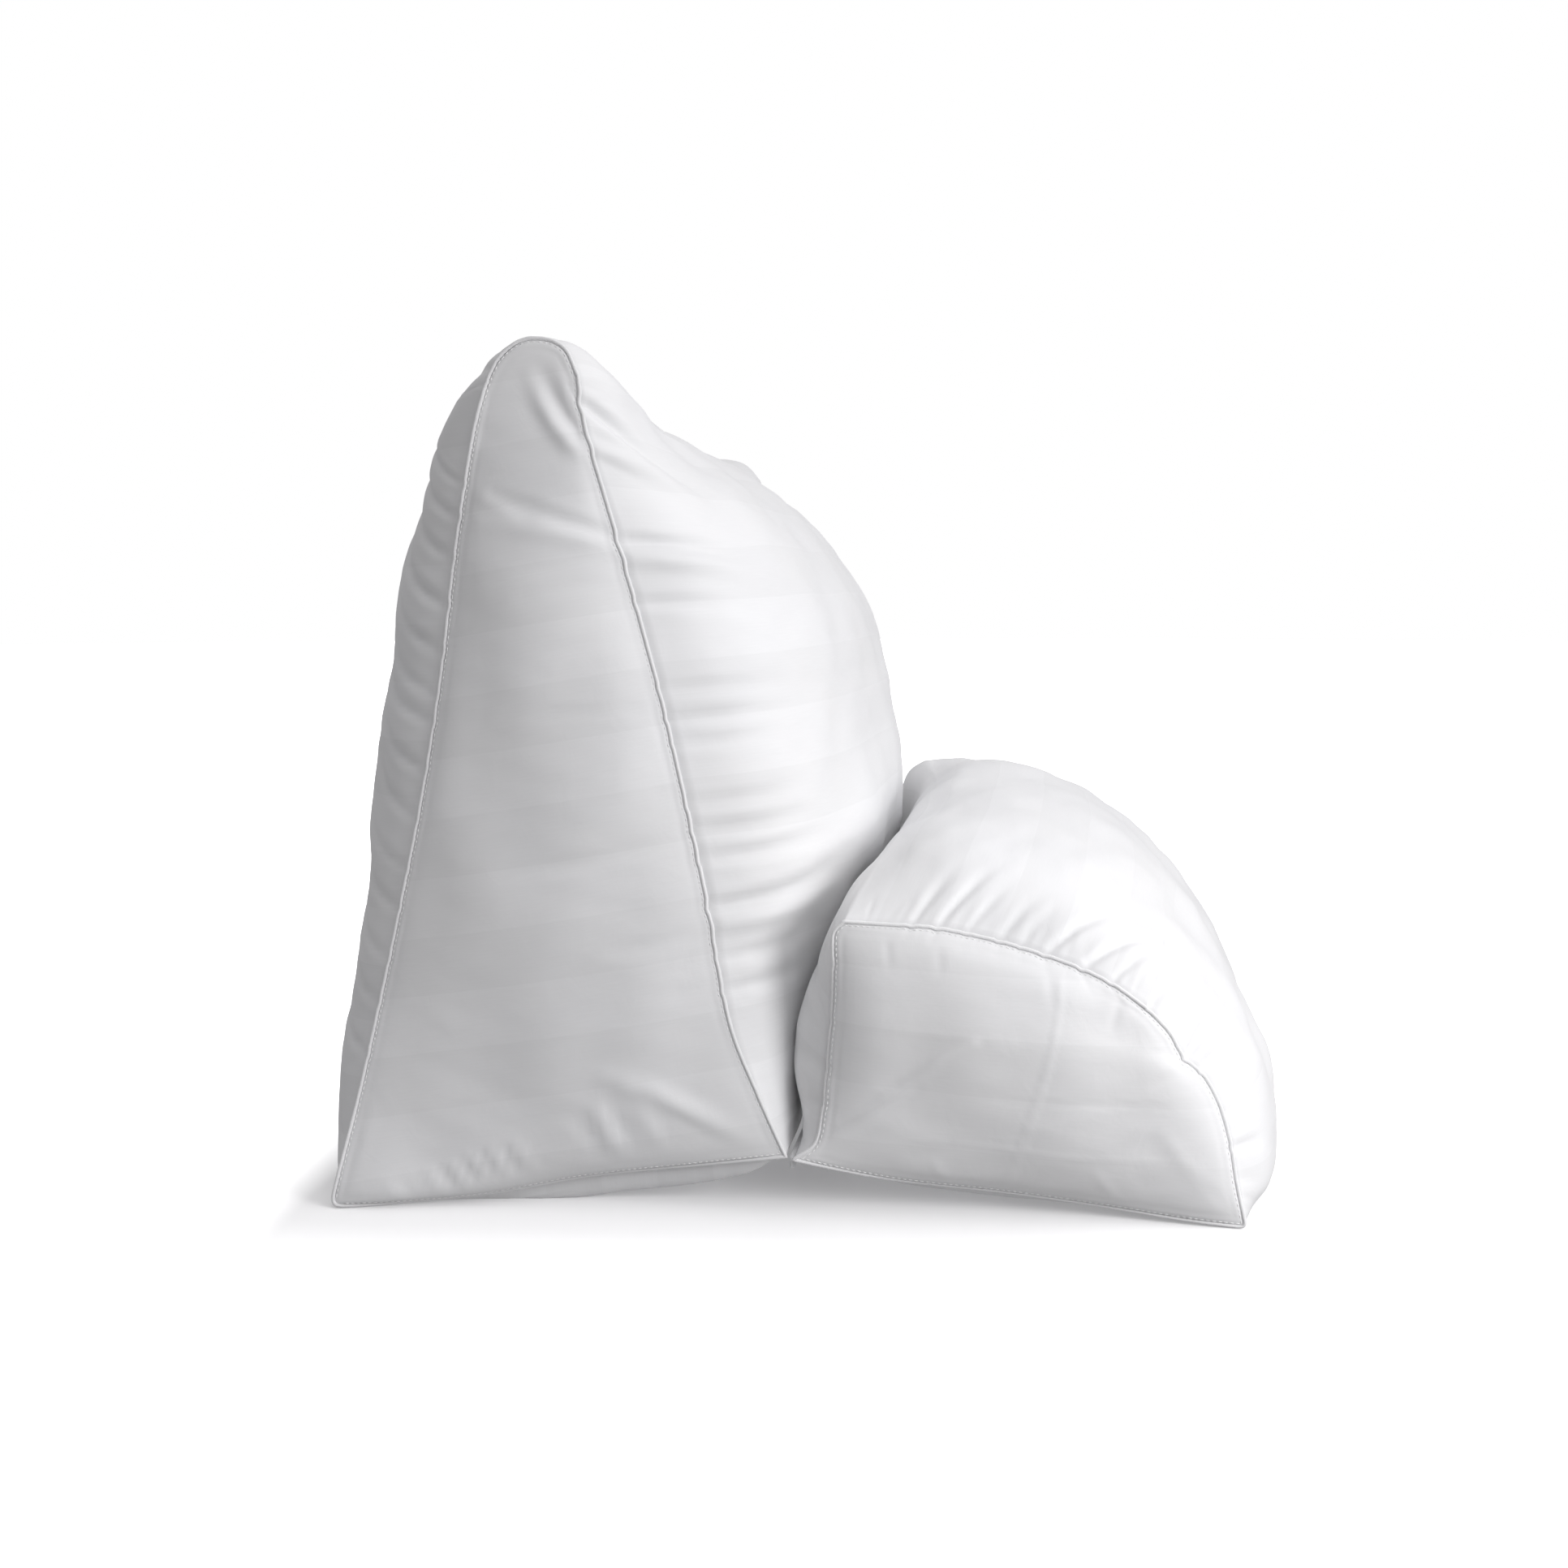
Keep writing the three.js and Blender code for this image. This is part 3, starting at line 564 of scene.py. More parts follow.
def hidden_puckers(lengths, salt):
    """Puckers for the seams that don't show, unevenly spaced."""
    rows = []
    for k, side in enumerate(SIDES):
        along, i = 14.0, k * 40
        while along < lengths[k] - 14:
            r = [scatter(i, salt + n) for n in range(4)]
            rows.append((side, along, 1.2 * r[0] - 0.5, 20 + 26 * r[1], 4.5 + 2.5 * r[2], -1.4 - 1.8 * r[3]))
            along += 18 + 20 * r[1]
            i += 1
    return rows


def gathers(lengths, salt):
    """Small close puckers where the seam takes up spare cloth."""
    rng = np.random.default_rng(salt)
    rows = []
    for k, side in enumerate(SIDES):
        along = 5.0
        while along < lengths[k] - 5:
            slant, reach, half = rng.normal(0, 0.35), rng.uniform(7, 20), rng.uniform(1.8, 3.2)
            rows.append((side, along, slant, reach, half, -rng.uniform(0.25, 0.95)))
            along += rng.uniform(6, 15)
    return rows


def pucker_height(rows, cols, away):
    """Sum of the puckers on a grid of distances (rows) by ring columns."""
    total = np.zeros((len(away), len(cols["side"])))
    for side, along, slant, reach, half, high in rows:
        ks = np.nonzero(cols["side"] == SIDES.index(side))[0]
        rs = np.nonzero(away <= 2.6 * reach)[0]
        if not len(rs):
            continue
        d = away[rs][:, None]
        w = half * (0.7 + 0.7 * d / reach)
        s = (cols["along"][ks][None, :] - along - slant * d) / w
        body = np.exp(-s * s) - 0.4 * np.exp(-s * s / 5)
        fade = (0.45 + 0.55 * np.minimum(1, d / 12)) * np.exp(-((d / reach) ** 2))
        total[np.ix_(rs, ks)] += high * body * fade
    return total


def fold_height(rows, x, z):
    """Sum of the folds at points of an end panel."""
    total = np.zeros(x.shape)
    for path, half, high in rows:
        path = np.array(path, float)
        best = np.full(x.shape, np.inf)
        at = np.zeros(x.shape)
        n = len(path) - 1
        for i in range(n):
            (ax, az), (dx, dz) = path[i], path[i + 1] - path[i]
            t = np.clip(((x - ax) * dx + (z - az) * dz) / (dx * dx + dz * dz), 0, 1)
            d = np.hypot(x - ax - t * dx, z - az - t * dz)
            closer = d < best
            best = np.where(closer, d, best)
            at = np.where(closer, (i + t) / n, at)
        taper = np.sin(np.pi * (0.12 + 0.76 * at))
        s = best / half
        total += high * taper * (np.exp(-s * s) - 0.3 * np.exp(-s * s / 4))
    return total


def rows_away():
    """Distances of the gusset rows from the end seam, closest near it."""
    out = [FIRST_ROW]
    step = FIRST_STEP
    while out[-1] < HALF_LENGTH - 16:
        out.append(out[-1] + step)
        if out[-1] > 22:
            step = min(LAST_STEP, step * 1.055)
    out[-1] = min(out[-1], HALF_LENGTH - 8)
    return np.array(out + [HALF_LENGTH])


def unit(v):
    """Vectors brought to length 1."""
    return v / np.maximum(1e-9, np.linalg.norm(v, axis=-1))[..., None]


def sharper(rows, sides, half, reach, high):
    """The rows of some sides with their width, reach and height scaled."""
    return [
        (s, a, slant, r * reach, w * half, h * high) if s in sides else (s, a, slant, r, w, h)
        for s, a, slant, r, w, h in rows
    ]


class Cushion:
    """A filled cushion: a side strip swept between two domed end panels."""

    def __init__(self, sides, form, steps, puckers, folds, far_folds, salt, tilt, shift):
        self.form, self.steps = form, steps
        self.cols = cols = columns(sides, form, steps)
        self.tilt, self.shift = tilt, shift
        away = rows_away()
        hidden = hidden_puckers(cols["lengths"], salt)
        seen = {p[0] for p in puckers}
        near = puckers + [p for p in hidden if p[0] not in seen and p[0] != "base"]
        near = near + gathers(cols["lengths"], salt + 100)
        far = hidden + gathers(cols["lengths"], salt + 200)
        self.folds = (folds, far_folds)
        stations = [(-1, a) for a in away] + [(1, a) for a in away[-2::-1]]
        base = np.array([gusset_ring(cols, form, e, a) for e, a in stations])
        seams = [gusset_ring(cols, form, e, 0.0) for e in (-1, 1)]
        self.plain = [ring.copy() for ring in seams]
        du = np.roll(base, -1, 1) - np.roll(base, 1, 1)
        dv = np.empty_like(base)
        dv[1:-1] = base[2:] - base[:-2]
        dv[0], dv[-1] = base[1] - base[0], base[-1] - base[-2]
        normal = unit(np.cross(du, dv))
        heights = np.zeros(base.shape[:2])
        half = len(away)
        heights[:half] = pucker_height(near, cols, away)
        heights[half:] = pucker_height(far, cols, away[-2::-1])
        heights *= self.calm(base)
        slack = np.minimum(1, np.array([a for _, a in stations]) / 60)[:, None]
        heights += waves(base, salt + 1, 55, 190) * 2.2 * slack * np.clip(base[..., 2] / 60, 0, 1)
        heights += waves(base * [1, 0.45, 1], salt + 2, 14, 40) * 0.32 * slack
        self.moved = base + normal * heights[..., None]
        zero = np.array([0.0])
        for e, ring in enumerate(seams):
            h = 0.55 * pucker_height(near if e == 0 else far, cols, zero)[0] * self.calm(ring)
            n, _ = ring_normals(ring[:, [0, 2]])
            ring[:, 0] += n[:, 0] * h
            ring[:, 2] += n[:, 1] * h
        self.seams = seams

    @staticmethod
    def calm(p):
        """Share of the puckers that is left near the joining seam and near the floor."""
        to_join = np.hypot(p[..., 0], p[..., 2] - JOIN_HEIGHT)
        return np.clip((to_join - 12) / 40, 0, 1) * np.clip(p[..., 2] / 8, 0, 1)

    def channel(self, e):
        """Rings of the sewn groove at one end, from the panel to the side strip."""
        end = -1 if e == 0 else 1
        ring = self.seams[e]
        inner = self.moved[0 if e == 0 else -1]
        n, miter = ring_normals(ring[:, [0, 2]])
        out = np.stack([n[:, 0], np.zeros(len(n)), n[:, 1]], 1)
        b = unit(inner - ring)
        inward = unit(-out + b + np.array([0, -end * 0.12, 0]))
        m = miter[:, None]
        return {
            "panel": ring - out * GROOVE_HALF * m,
            "wall": ring - out * GROOVE_HALF * 0.5 * m + inward * GROOVE_DEPTH * 0.55,
            "floor": ring + inward * GROOVE_DEPTH,
            "lip": ring + b * GROOVE_HALF * 0.5 + inward * GROOVE_DEPTH * 0.55,
            "gusset": ring + b * GROOVE_HALF,
            "welt": ring - inward * WELT_PROUD,
            "plain": self.plain[e] - out * GROOVE_HALF * m,
            "out": out,
            "miter": miter,
        }

    def edges(self, rim):
        """The left, right, lower and upper edge of a panel, from its closed rim."""
        na, nb = self.steps["back"], self.steps["cap"]
        n = len(rim)
        left, top = rim[: na + 1], rim[na : na + nb + 1]
        right = rim[na + nb + na - np.arange(na + 1)]
        return left, right, rim[(n - np.arange(nb + 1)) % n], top

    def panel(self, e, rim, plain):
        """The grid of one end panel: a patch between its four edges, domed and folded."""
        end = -1 if e == 0 else 1
        na, nb = self.steps["back"], self.steps["cap"]
        left, right, foot, top = self.edges(plain)
        q = spread(na, CROWDING["back"])[:, None, None]
        p = spread(nb, CROWDING["cap"])[None, :, None]
        grid = (
            left[:, None] * (1 - p) + right[:, None] * p + foot[None] * (1 - q) + top[None] * q
            - left[0] * (1 - p) * (1 - q) - right[0] * p * (1 - q) - top[0] * (1 - p) * q - top[-1] * p * q
        )
        tall = np.linalg.norm(top - foot, axis=1)[None, :, None]
        wide = np.linalg.norm(left - right, axis=1)[:, None, None]
        dl, dr, df, dt = self.edges(rim - plain)
        for moved, away in ((dl[:, None], p * wide), (dr[:, None], (1 - p) * wide)):
            grid += moved * np.exp(-away / EDGE_FADE)
        for moved, away in ((df[None], q * tall), (dt[None], (1 - q) * tall)):
            grid += moved * np.exp(-away / EDGE_FADE)
        p, q = p[..., 0], q[..., 0]
        width = np.linalg.norm(left - right, axis=1)[:, None] / self.form["fullWidth"]
        dome = self.form["dome"]
        rise = np.clip(4 * p * (1 - p), 0, 1) ** dome[0] * np.clip(4 * q * (1 - q), 0, 1) ** dome[1]
        out = self.form["crown"] * rise * np.minimum(1, width) ** 0.6
        edge = np.minimum(1, 6 * p * (1 - p)) * np.minimum(1, 12 * q * (1 - q))
        out = out + fold_height(self.folds[e], grid[..., 0], grid[..., 2]) * edge
        out += waves(grid, 31 + e, 60, 170) * 1.3 * edge
        out += waves(grid * [0.6, 1, 1.2], 41 + e, 16, 42) * 0.22 * edge
        tree = KDTree(len(rim))
        for i, c in enumerate(rim):
            tree.insert(c, i)
        tree.balance()
        flat = grid.reshape(-1, 3)
        near = np.array([tree.find(c)[2] for c in flat]).reshape(grid.shape[:2])
        firm = 0.75 + 0.25 * waves(grid, 51 + e, 30, 90, 12)
        ridge = 0.22 * np.exp(-(((near - 2.4) / 1.5) ** 2))
        hollow = 0.16 * np.exp(-(((near - 5.4) / 1.9) ** 2))
        out += firm * (ridge - hollow)
        lap = self.form["lap"]
        if lap:
            above = grid[..., 2] - foot[None, :, 2]
            share = np.clip((lap["until"] - grid[..., 0]) / lap["fade"], 0, 1)
            share = share * share * (3 - 2 * share) * np.minimum(1, 9 * p * (1 - p))
            belly = lap["high"] * share * (1 - np.exp(-above / 3.0)) * np.exp(-((above / lap["tall"]) ** 2))
            out += belly
            grid[..., 2] -= 0.25 * belly * np.exp(-above / 9.0)
        inside = (p > 0) & (p < 1) & (q > 0) & (q < 1)
        grid[..., 1] += end * np.where(inside, out, 0)
        return grid

    def mesh(self):
        """Vertices, quads and cloth coordinates: the stripe number and the metres along."""
        n = len(self.cols["side"])
        ends = [self.channel(e) for e in (0, 1)]
        loops = [ends[0][k] for k in ("panel", "wall", "floor", "lip", "gusset")]
        loops += list(self.moved)
        loops += [ends[1][k] for k in ("gusset", "lip", "floor", "wall", "panel")]
        verts = np.concatenate(loops)
        cloth = np.zeros((len(verts), 3))
        across = self.cols["total"] / BAND + self.shift[0]
        cloth[:, 0] = np.tile(across, len(loops))
        cloth[:, 1] = verts[:, 1] * MM
        quads = []
        i = np.arange(n)
        j = (i + 1) % n
        for r in range(len(loops) - 1):
            quads.append(np.stack([r * n + i, r * n + j, (r + 1) * n + j, (r + 1) * n + i], 1))
        na, nb = self.steps["back"], self.steps["cap"]
        for e, first in ((0, 0), (1, (len(loops) - 1) * n)):
            grid = self.panel(e, ends[e]["panel"], ends[e]["plain"])
            ids = np.full(grid.shape[:2], -1)
            a, b = np.arange(na + 1), np.arange(nb + 1)
            ids[0, :] = first + (n - b) % n
            ids[a, nb] = first + na + nb + na - a
            ids[na, :] = first + na + b
            ids[a, 0] = first + a
            fresh = ids < 0
            ids[fresh] = len(verts) + np.arange(fresh.sum())
            verts = np.concatenate([verts, grid[fresh]])
            cloth = np.concatenate([cloth, np.zeros((fresh.sum(), 3))])
            every = np.unique(ids)
            x, z = verts[every, 0], verts[every, 2]
            cloth[every, 0] = (z - self.tilt * x) / BAND + self.shift[1]
            cloth[every, 1] = x * MM
            quad = np.stack([ids[:-1, :-1], ids[:-1, 1:], ids[1:, 1:], ids[1:, :-1]], -1).reshape(-1, 4)
            quads.append(quad if e == 0 else quad[:, ::-1])
        quads = np.concatenate(quads)
        verts[:, 2] = above_floor(verts[:, 2], 1.6)
        return verts, quads, cloth


seam_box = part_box("joining_seam")
OFFSET = np.array([
    (seam_box[0][0] + seam_box[1][0]) / 2 - JOIN_AXIS_X * MM,
    (seam_box[0][1] + seam_box[1][1]) / 2,
    0.0,
])


def to_frame(points):
    """Table millimetres to metres in the model's frame."""
    return np.asarray(points, float) * MM + OFFSET


def add_object(name, data):
    obj = bpy.data.objects.new(name, data)
    bpy.context.scene.collection.objects.link(obj)
    return obj


def add_mesh(name, verts, faces, material, cloth=None):
    """A smooth mesh from points in table millimetres, with its cloth coordinates."""
    mesh = bpy.data.meshes.new(name)
    mesh.from_pydata(to_frame(verts).tolist(), [], [tuple(int(i) for i in f) for f in faces])
    mesh.polygons.foreach_set("use_smooth", np.ones(len(mesh.polygons), bool))
    if cloth is not None:
        attr = mesh.attributes.new("cloth", "FLOAT_VECTOR", "POINT")
        attr.data.foreach_set("vector", np.asarray(cloth, np.float32).ravel())
    mesh.update()
    mesh.materials.append(material)
    return add_object(name, mesh)


def feed(tree, node, values):
    """Sets a node's inputs, by name or number; each is a value or another node's output."""
    for key, value in values.items():
        if isinstance(value, bpy.types.NodeSocket):
            tree.links.new(value, node.inputs[key])
        else:
            node.inputs[key].default_value = value
    return node.outputs[0]


def math_node(tree, op, *values):
    node = tree.nodes.new("ShaderNodeMath")
    node.operation = op
    return feed(tree, node, dict(enumerate(values)))


def mix_color(tree, factor, a, b, blend="MIX"):
    node = tree.nodes.new("ShaderNodeMix")
    node.data_type = "RGBA"
    node.blend_type = blend
    a, b = ((*c, 1.0) if isinstance(c, tuple) else c for c in (a, b))
    feed(tree, node, {"Factor": factor, 6: a, 7: b})
    return node.outputs[2]


def map_range(tree, value, start, stop, low, high):
    """A value carried from the range start to stop over to low to high."""
    node = tree.nodes.new("ShaderNodeMapRange")
    return feed(tree, node, {0: value, 1: start, 2: stop, 3: low, 4: high})


def separate(tree, vector):
    node = tree.nodes.new("ShaderNodeSeparateXYZ")
    feed(tree, node, {0: vector})
    return node.outputs


def cloth_coordinates(tree):
    """The stripe number and the metres along, as add_mesh stored them."""
    attr = tree.nodes.new("ShaderNodeAttribute")
    attr.attribute_name = "cloth"
    return separate(tree, attr.outputs["Vector"])[:2]


def ripple(tree, value, pitch):
    """A sine of a value, repeated after each pitch."""
    return math_node(tree, "SINE", math_node(tree, "MULTIPLY", value, 2 * math.pi / pitch))


def bump(tree, height, strength, distance, **more):
    node = tree.nodes.new("ShaderNodeBump")
    return feed(tree, node, {"Height": height, "Strength": strength, "Distance": distance, **more})


def new_material(name):
    mat = bpy.data.materials.new(name)
    mat.use_nodes = True
    tree = mat.node_tree
    return mat, tree, tree.nodes["Principled BSDF"]


def noise(tree, vector, scale, detail=3.0, rough=0.55, distort=0.0):
    node = tree.nodes.new("ShaderNodeTexNoise")
    feed(tree, node, {"Vector": vector, "Scale": scale, "Detail": detail, "Roughness": rough})
    feed(tree, node, {"Distortion": distort})
    return node.outputs["Fac"]


def sateen_material():
    """White cotton sateen: wide stripes in which shiny and dull weave take turns."""
    mat, tree, shader = new_material("striped_sateen")
    nodes = tree.nodes
    band, along = cloth_coordinates(tree)
    coords = nodes.new("ShaderNodeTexCoord").outputs["Object"]

    edged = math_node(tree, "MULTIPLY_ADD", ripple(tree, band, 2), 14.0, 0.5)
    stripe = feed(tree, nodes.new("ShaderNodeClamp"), {"Value": edged})

    soft = noise(tree, coords, 7.0, 3.0)
    fine = noise(tree, coords, 160.0, 2.0)
    slub = [math_node(tree, "MULTIPLY", band, 42.0), math_node(tree, "MULTIPLY", along, 60.0)]
    slub = feed(tree, nodes.new("ShaderNodeCombineXYZ"), dict(enumerate(slub)))
    threads = noise(tree, slub, 1.0, 2.0)

    base = mix_color(tree, stripe, DULL_STRIPE, SHINY_STRIPE)
    tint = mix_color(tree, soft, COOL_TINT, WARM_TINT)
    tinted = mix_color(tree, 1.0, base, tint, "MULTIPLY")
    slubbed = mix_color(tree, 0.05, tinted, threads, "MULTIPLY")

    rough = math_node(tree, "MULTIPLY_ADD", stripe, -0.12, 0.64)
    rough = math_node(tree, "ADD", rough, math_node(tree, "MULTIPLY_ADD", fine, 0.10, -0.05))
    feed(tree, shader, {"Base Color": slubbed, "Roughness": rough})
    feed(tree, shader, {"Sheen Weight": 0.18, "Sheen Roughness": 0.45, "Specular IOR Level": 0.32})

    # Warp and weft; the warp floats longer where the stripe is shiny.
    warp = ripple(tree, band, WARP_PITCH / BAND)
    weft = ripple(tree, along, WEFT_PITCH * MM)
    plain = math_node(tree, "MULTIPLY", warp, weft)
    satin = math_node(tree, "MULTIPLY_ADD", plain, 0.25, warp)
    weave = feed(tree, nodes.new("ShaderNodeMix"), {"Factor": stripe, 2: plain, 3: satin})
    stretched = feed(tree, nodes.new("ShaderNodeMapping"), {"Vector": coords, "Scale": (1.0, 0.55, 1.0)})
    crumple = bump(tree, noise(tree, stretched, 46.0, 4.0, 0.5, 0.6), 0.35, 0.0011)
    feed(tree, shader, {"Normal": bump(tree, weave, 0.12, 0.00006, Normal=crumple)})
    return mat


def cord_material():
    """Bias-cut cloth round a cord: fine slanted rib and small pulls."""
    mat, tree, shader = new_material("welt_cotton")
    round_it, along = cloth_coordinates(tree)
    coords = tree.nodes.new("ShaderNodeTexCoord").outputs["Object"]
    turns = math_node(tree, "ADD", math_node(tree, "MULTIPLY", along, 1 / (RIB_PITCH * MM)), round_it)
    rib = ripple(tree, turns, 1)
    pulls = noise(tree, coords, 210.0, 3.0)
    soft = noise(tree, coords, 30.0, 2.0)
    height = math_node(tree, "ADD", math_node(tree, "MULTIPLY", rib, 0.12), pulls)
    feed(tree, shader, {
        "Base Color": mix_color(tree, soft, DARK_CORD, LIGHT_CORD),
        "Roughness": math_node(tree, "MULTIPLY_ADD", pulls, 0.2, 0.5),
        "Normal": bump(tree, height, 0.3, 0.0004),
        "Sheen Weight": 0.2,
        "Specular IOR Level": 0.3,
    })
    return mat


def thread_material():
    """Slightly glossy sewing thread."""
    mat, tree, shader = new_material("stitch_thread")
    coords = tree.nodes.new("ShaderNodeTexCoord").outputs["Object"]
    soft = noise(tree, coords, 400.0, 2.0)
    feed(tree, shader, {
        "Base Color": mix_color(tree, soft, DARK_THREAD, LIGHT_THREAD),
        "Roughness": math_node(tree, "MULTIPLY_ADD", soft, 0.2, 0.3),
        "Normal": bump(tree, soft, 0.4, 0.0002),
        "Sheen Weight": 0.1,
    })
    return mat


SATEEN = sateen_material()
CORD = cord_material()
THREAD = thread_material()


def wall_faces(rings, sides, first=0, closed=False, flip=False):
    """Faces between the rings of a tube; a closed tube joins its last ring to its first."""
    faces = []
    for i in range(rings if closed else rings - 1):
        a, b = first + i * sides, first + (i + 1) % rings * sides
        for k in range(sides):
            m = (k + 1) % sides
            faces.append((a + k, b + k, b + m, a + m) if flip else (a + k, a + m, b + m, b + k))
    return faces


def cap_faces(rings, sides, first=0):
    """The faces that close a tube at its first and at its last ring."""
    last = first + (rings - 1) * sides
    return [tuple(range(first, first + sides))[::-1], tuple(range(last, last + sides))]


def above_floor(z, softness):
    """Heights kept over the floor by a smooth bend."""
    return 0.5 * (z + np.sqrt(z**2 + softness))


def add_welt(name, cushion, e, node):
    """The piping: cloth drawn round a cord, a little uneven in thickness."""
    rims = cushion.channel(e)
    centre = rims["welt"]
    n = len(centre)
    run = arc_lengths(centre)
    swell = 1 + 0.03 * np.sin(run / 3.1) * np.sin(run / 11.7) + 0.015 * np.sin(run / 1.9)
    radius = WELT_RADIUS * swell
    verts, cloth = [], []
    for s in range(CORD_SIDES):
        a = 2 * math.pi * s / CORD_SIDES
        across = radius * math.cos(a) * np.minimum(1.25, rims["miter"])
        along = radius * math.sin(a)
        verts.append(centre + rims["out"] * across[:, None] + np.array([0, 1, 0]) * along[:, None])
        cloth.append(np.stack([np.full(n, s / CORD_SIDES), run * MM, np.zeros(n)], 1))
    verts = np.stack(verts, 1).reshape(-1, 3)
    cloth = np.stack(cloth, 1).reshape(-1, 3)
    verts[:, 2] = above_floor(verts[:, 2], 1.0)
    faces = wall_faces(n, CORD_SIDES, closed=True, flip=True)
    obj = add_mesh(name, verts, faces, CORD, cloth)
    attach(obj, "root")
    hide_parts(node)


def thread_run(centres, tangents, normals):
    """One mesh of short rounded stitches lying on the cloth."""
    verts, faces = [], []
    for c, t, n in zip(centres, tangents, normals):
        b = np.cross(n, t)
        first = len(verts)
        faces += wall_faces(len(STITCH), THREAD_SIDES, first) + cap_faces(len(STITCH), THREAD_SIDES, first)
        for place, share, lift in STITCH:
            middle = c + t * place * STITCH_LENGTH + n * THREAD_RADIUS * lift
            for k in range(THREAD_SIDES):
                a = 2 * math.pi * k / THREAD_SIDES
                verts.append(middle + (b * math.cos(a) + n * math.sin(a)) * THREAD_RADIUS * share)
    return np.array(verts), faces


def add_stitches(name, cushion, body, e):
    """The line of stitches on the end panel beside the welt."""
    corners = [Vector(v.co) for v in body.data.vertices]
    tree = BVHTree.FromPolygons(corners, [list(f.vertices) for f in body.data.polygons])
    rims = cushion.channel(e)
    end = -1 if e == 0 else 1
    line = rims["panel"] - rims["out"] * STITCH_INSET
    run = arc_lengths(line)
    at = np.arange(STITCH_PITCH, run[-1] - STITCH_PITCH, STITCH_PITCH)
    here = np.stack([np.interp(at, run, line[:, k]) for k in range(3)], 1)
    ahead = np.stack([np.interp(at + 0.5, run, line[:, k]) for k in range(3)], 1)
    centres, tangents, normals = [], [], []
    for p, q in zip(to_frame(here), to_frame(ahead)):
        start = Vector(p) + Vector((0, end * 0.03, 0))
        hit = tree.ray_cast(start, Vector((0, -end, 0)), 0.06)
        if hit[0] is None or abs(hit[0].y - p[1]) > 0.02:
            continue
        n = np.array(hit[1])
        if n[1] * end < 0:
            n = -n
        t = q - p
        t -= n * (t @ n)
        t /= np.linalg.norm(t)
        centres.append((np.array(hit[0]) - OFFSET) / MM + n * THREAD_RADIUS * 0.25)
        tangents.append(t)
        normals.append(n)
    verts, faces = thread_run(centres, tangents, normals)
    obj = add_mesh(name, verts, faces, THREAD)
    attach(obj, "root")


def add_cushion(name, cushion, node):
    """The cover of one cushion, which stands for its solid."""
    verts, quads, cloth = cushion.mesh()
    obj = add_mesh(name, verts, quads, SATEEN, cloth)
    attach(obj, "root")
    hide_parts(node)
    return obj


def add_join():
    """The seam allowances of both cushions, folded together and top-stitched."""
    low, high = (np.array(c) / MM for c in seam_box)
    length = high[1] - low[1]
    wide, tall = high[0] - low[0], JOIN_SHARE * (high[2] - low[2])
    middle = (low[2] + high[2]) / 2 - JOIN_DROP
    steps, sides = 240, 20
    verts, cloth = [], []
    for i in range(steps + 1):
        y = -length / 2 + length * i / steps
        close = min(1.0, math.sqrt(min(i, steps - i) / 3.0))
        sway = 0.35 * math.sin(y / 9.0) * math.sin(y / 31.0)
        for k in range(sides):
            a = 2 * math.pi * k / sides
            c, s = math.cos(a), math.sin(a)
            px = math.copysign(abs(c) ** 0.6, c) * wide / 2 * (0.55 + 0.45 * close)
            pz = math.copysign(abs(s) ** 0.5, s) * tall / 2 * (0.8 + 0.2 * close)
            groove = 1 - 0.28 * math.exp(-((pz / 1.6) ** 2))
            verts.append((JOIN_AXIS_X + px * groove * 0.97, y, middle + pz + sway * 0.5))
            cloth.append((k / sides, y * MM, 0))
    faces = wall_faces(steps + 1, sides) + cap_faces(steps + 1, sides)
    obj = add_mesh("joining_fold", verts, faces, SATEEN, cloth)
    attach(obj, "root")
    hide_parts("joining_seam")


wedge_gathers = sharper(WEDGE_PUCKERS, ["back"], 0.75, 1.5, 1.35)
wedge = Cushion(
    WEDGE,
    WEDGE_FORM,
    steps={"back": 180, "cap": 80, "front": 180, "base": 80},
    puckers=sharper(wedge_gathers, ["front"], 0.8, 1.15, 1.5),
    folds=WEDGE_BROAD + WEDGE_FOOT + WEDGE_FINE,
    far_folds=WEDGE_FAR,
    salt=3,
    tilt=0.16,
    shift=(-0.2, 0.32),
)
bolster = Cushion(
    BOLSTER,
    BOLSTER_FORM,
    steps={"back": 90, "cap": 130, "front": 90, "base": 130},
    puckers=sharper(BOLSTER_PUCKERS, ["cap", "front"], 0.68, 0.8, 1.45),
    folds=BOLSTER_FINE,
    far_folds=BOLSTER_FAR,
    salt=11,
    tilt=-0.055,
    shift=(0.1, 0.55),
)
wedge_cover = add_cushion("wedge_cover", wedge, "wedge_cushion")
bolster_cover = add_cushion("bolster_cover", bolster, "bolster_cushion")
for e, side in ((0, "near"), (1, "far")):
    add_welt(f"wedge_piping_{side}", wedge, e, f"wedge_welt_{side}")
    add_welt(f"bolster_piping_{side}", bolster, e, f"bolster_welt_{side}")
    add_stitches(f"wedge_stitches_{side}", wedge, wedge_cover, e)
    add_stitches(f"bolster_stitches_{side}", bolster, bolster_cover, e)
add_join()


def backdrop_material():
    """Even white light."""
    mat, tree, shader = new_material("white_backdrop")
    feed(tree, shader, {"Base Color": (0, 0, 0, 1), "Roughness": 1.0, "Specular IOR Level": 0.0})
    feed(tree, shader, {"Emission Color": (1, 1, 1, 1), "Emission Strength": 1.0})
    return mat


def add_stage(name, verts, faces, material):
    """A piece of the surroundings, from points in metres."""
    mesh = bpy.data.meshes.new(name)
    mesh.from_pydata(verts, [], faces)
    mesh.materials.append(material)
    obj = add_object(name, mesh)
    return obj


def circle(radius, z, count):
    """Points of a level circle round the origin."""
    turns = (2 * math.pi * k / count for k in range(count))
    return [(radius * math.cos(a), radius * math.sin(a), z) for a in turns]


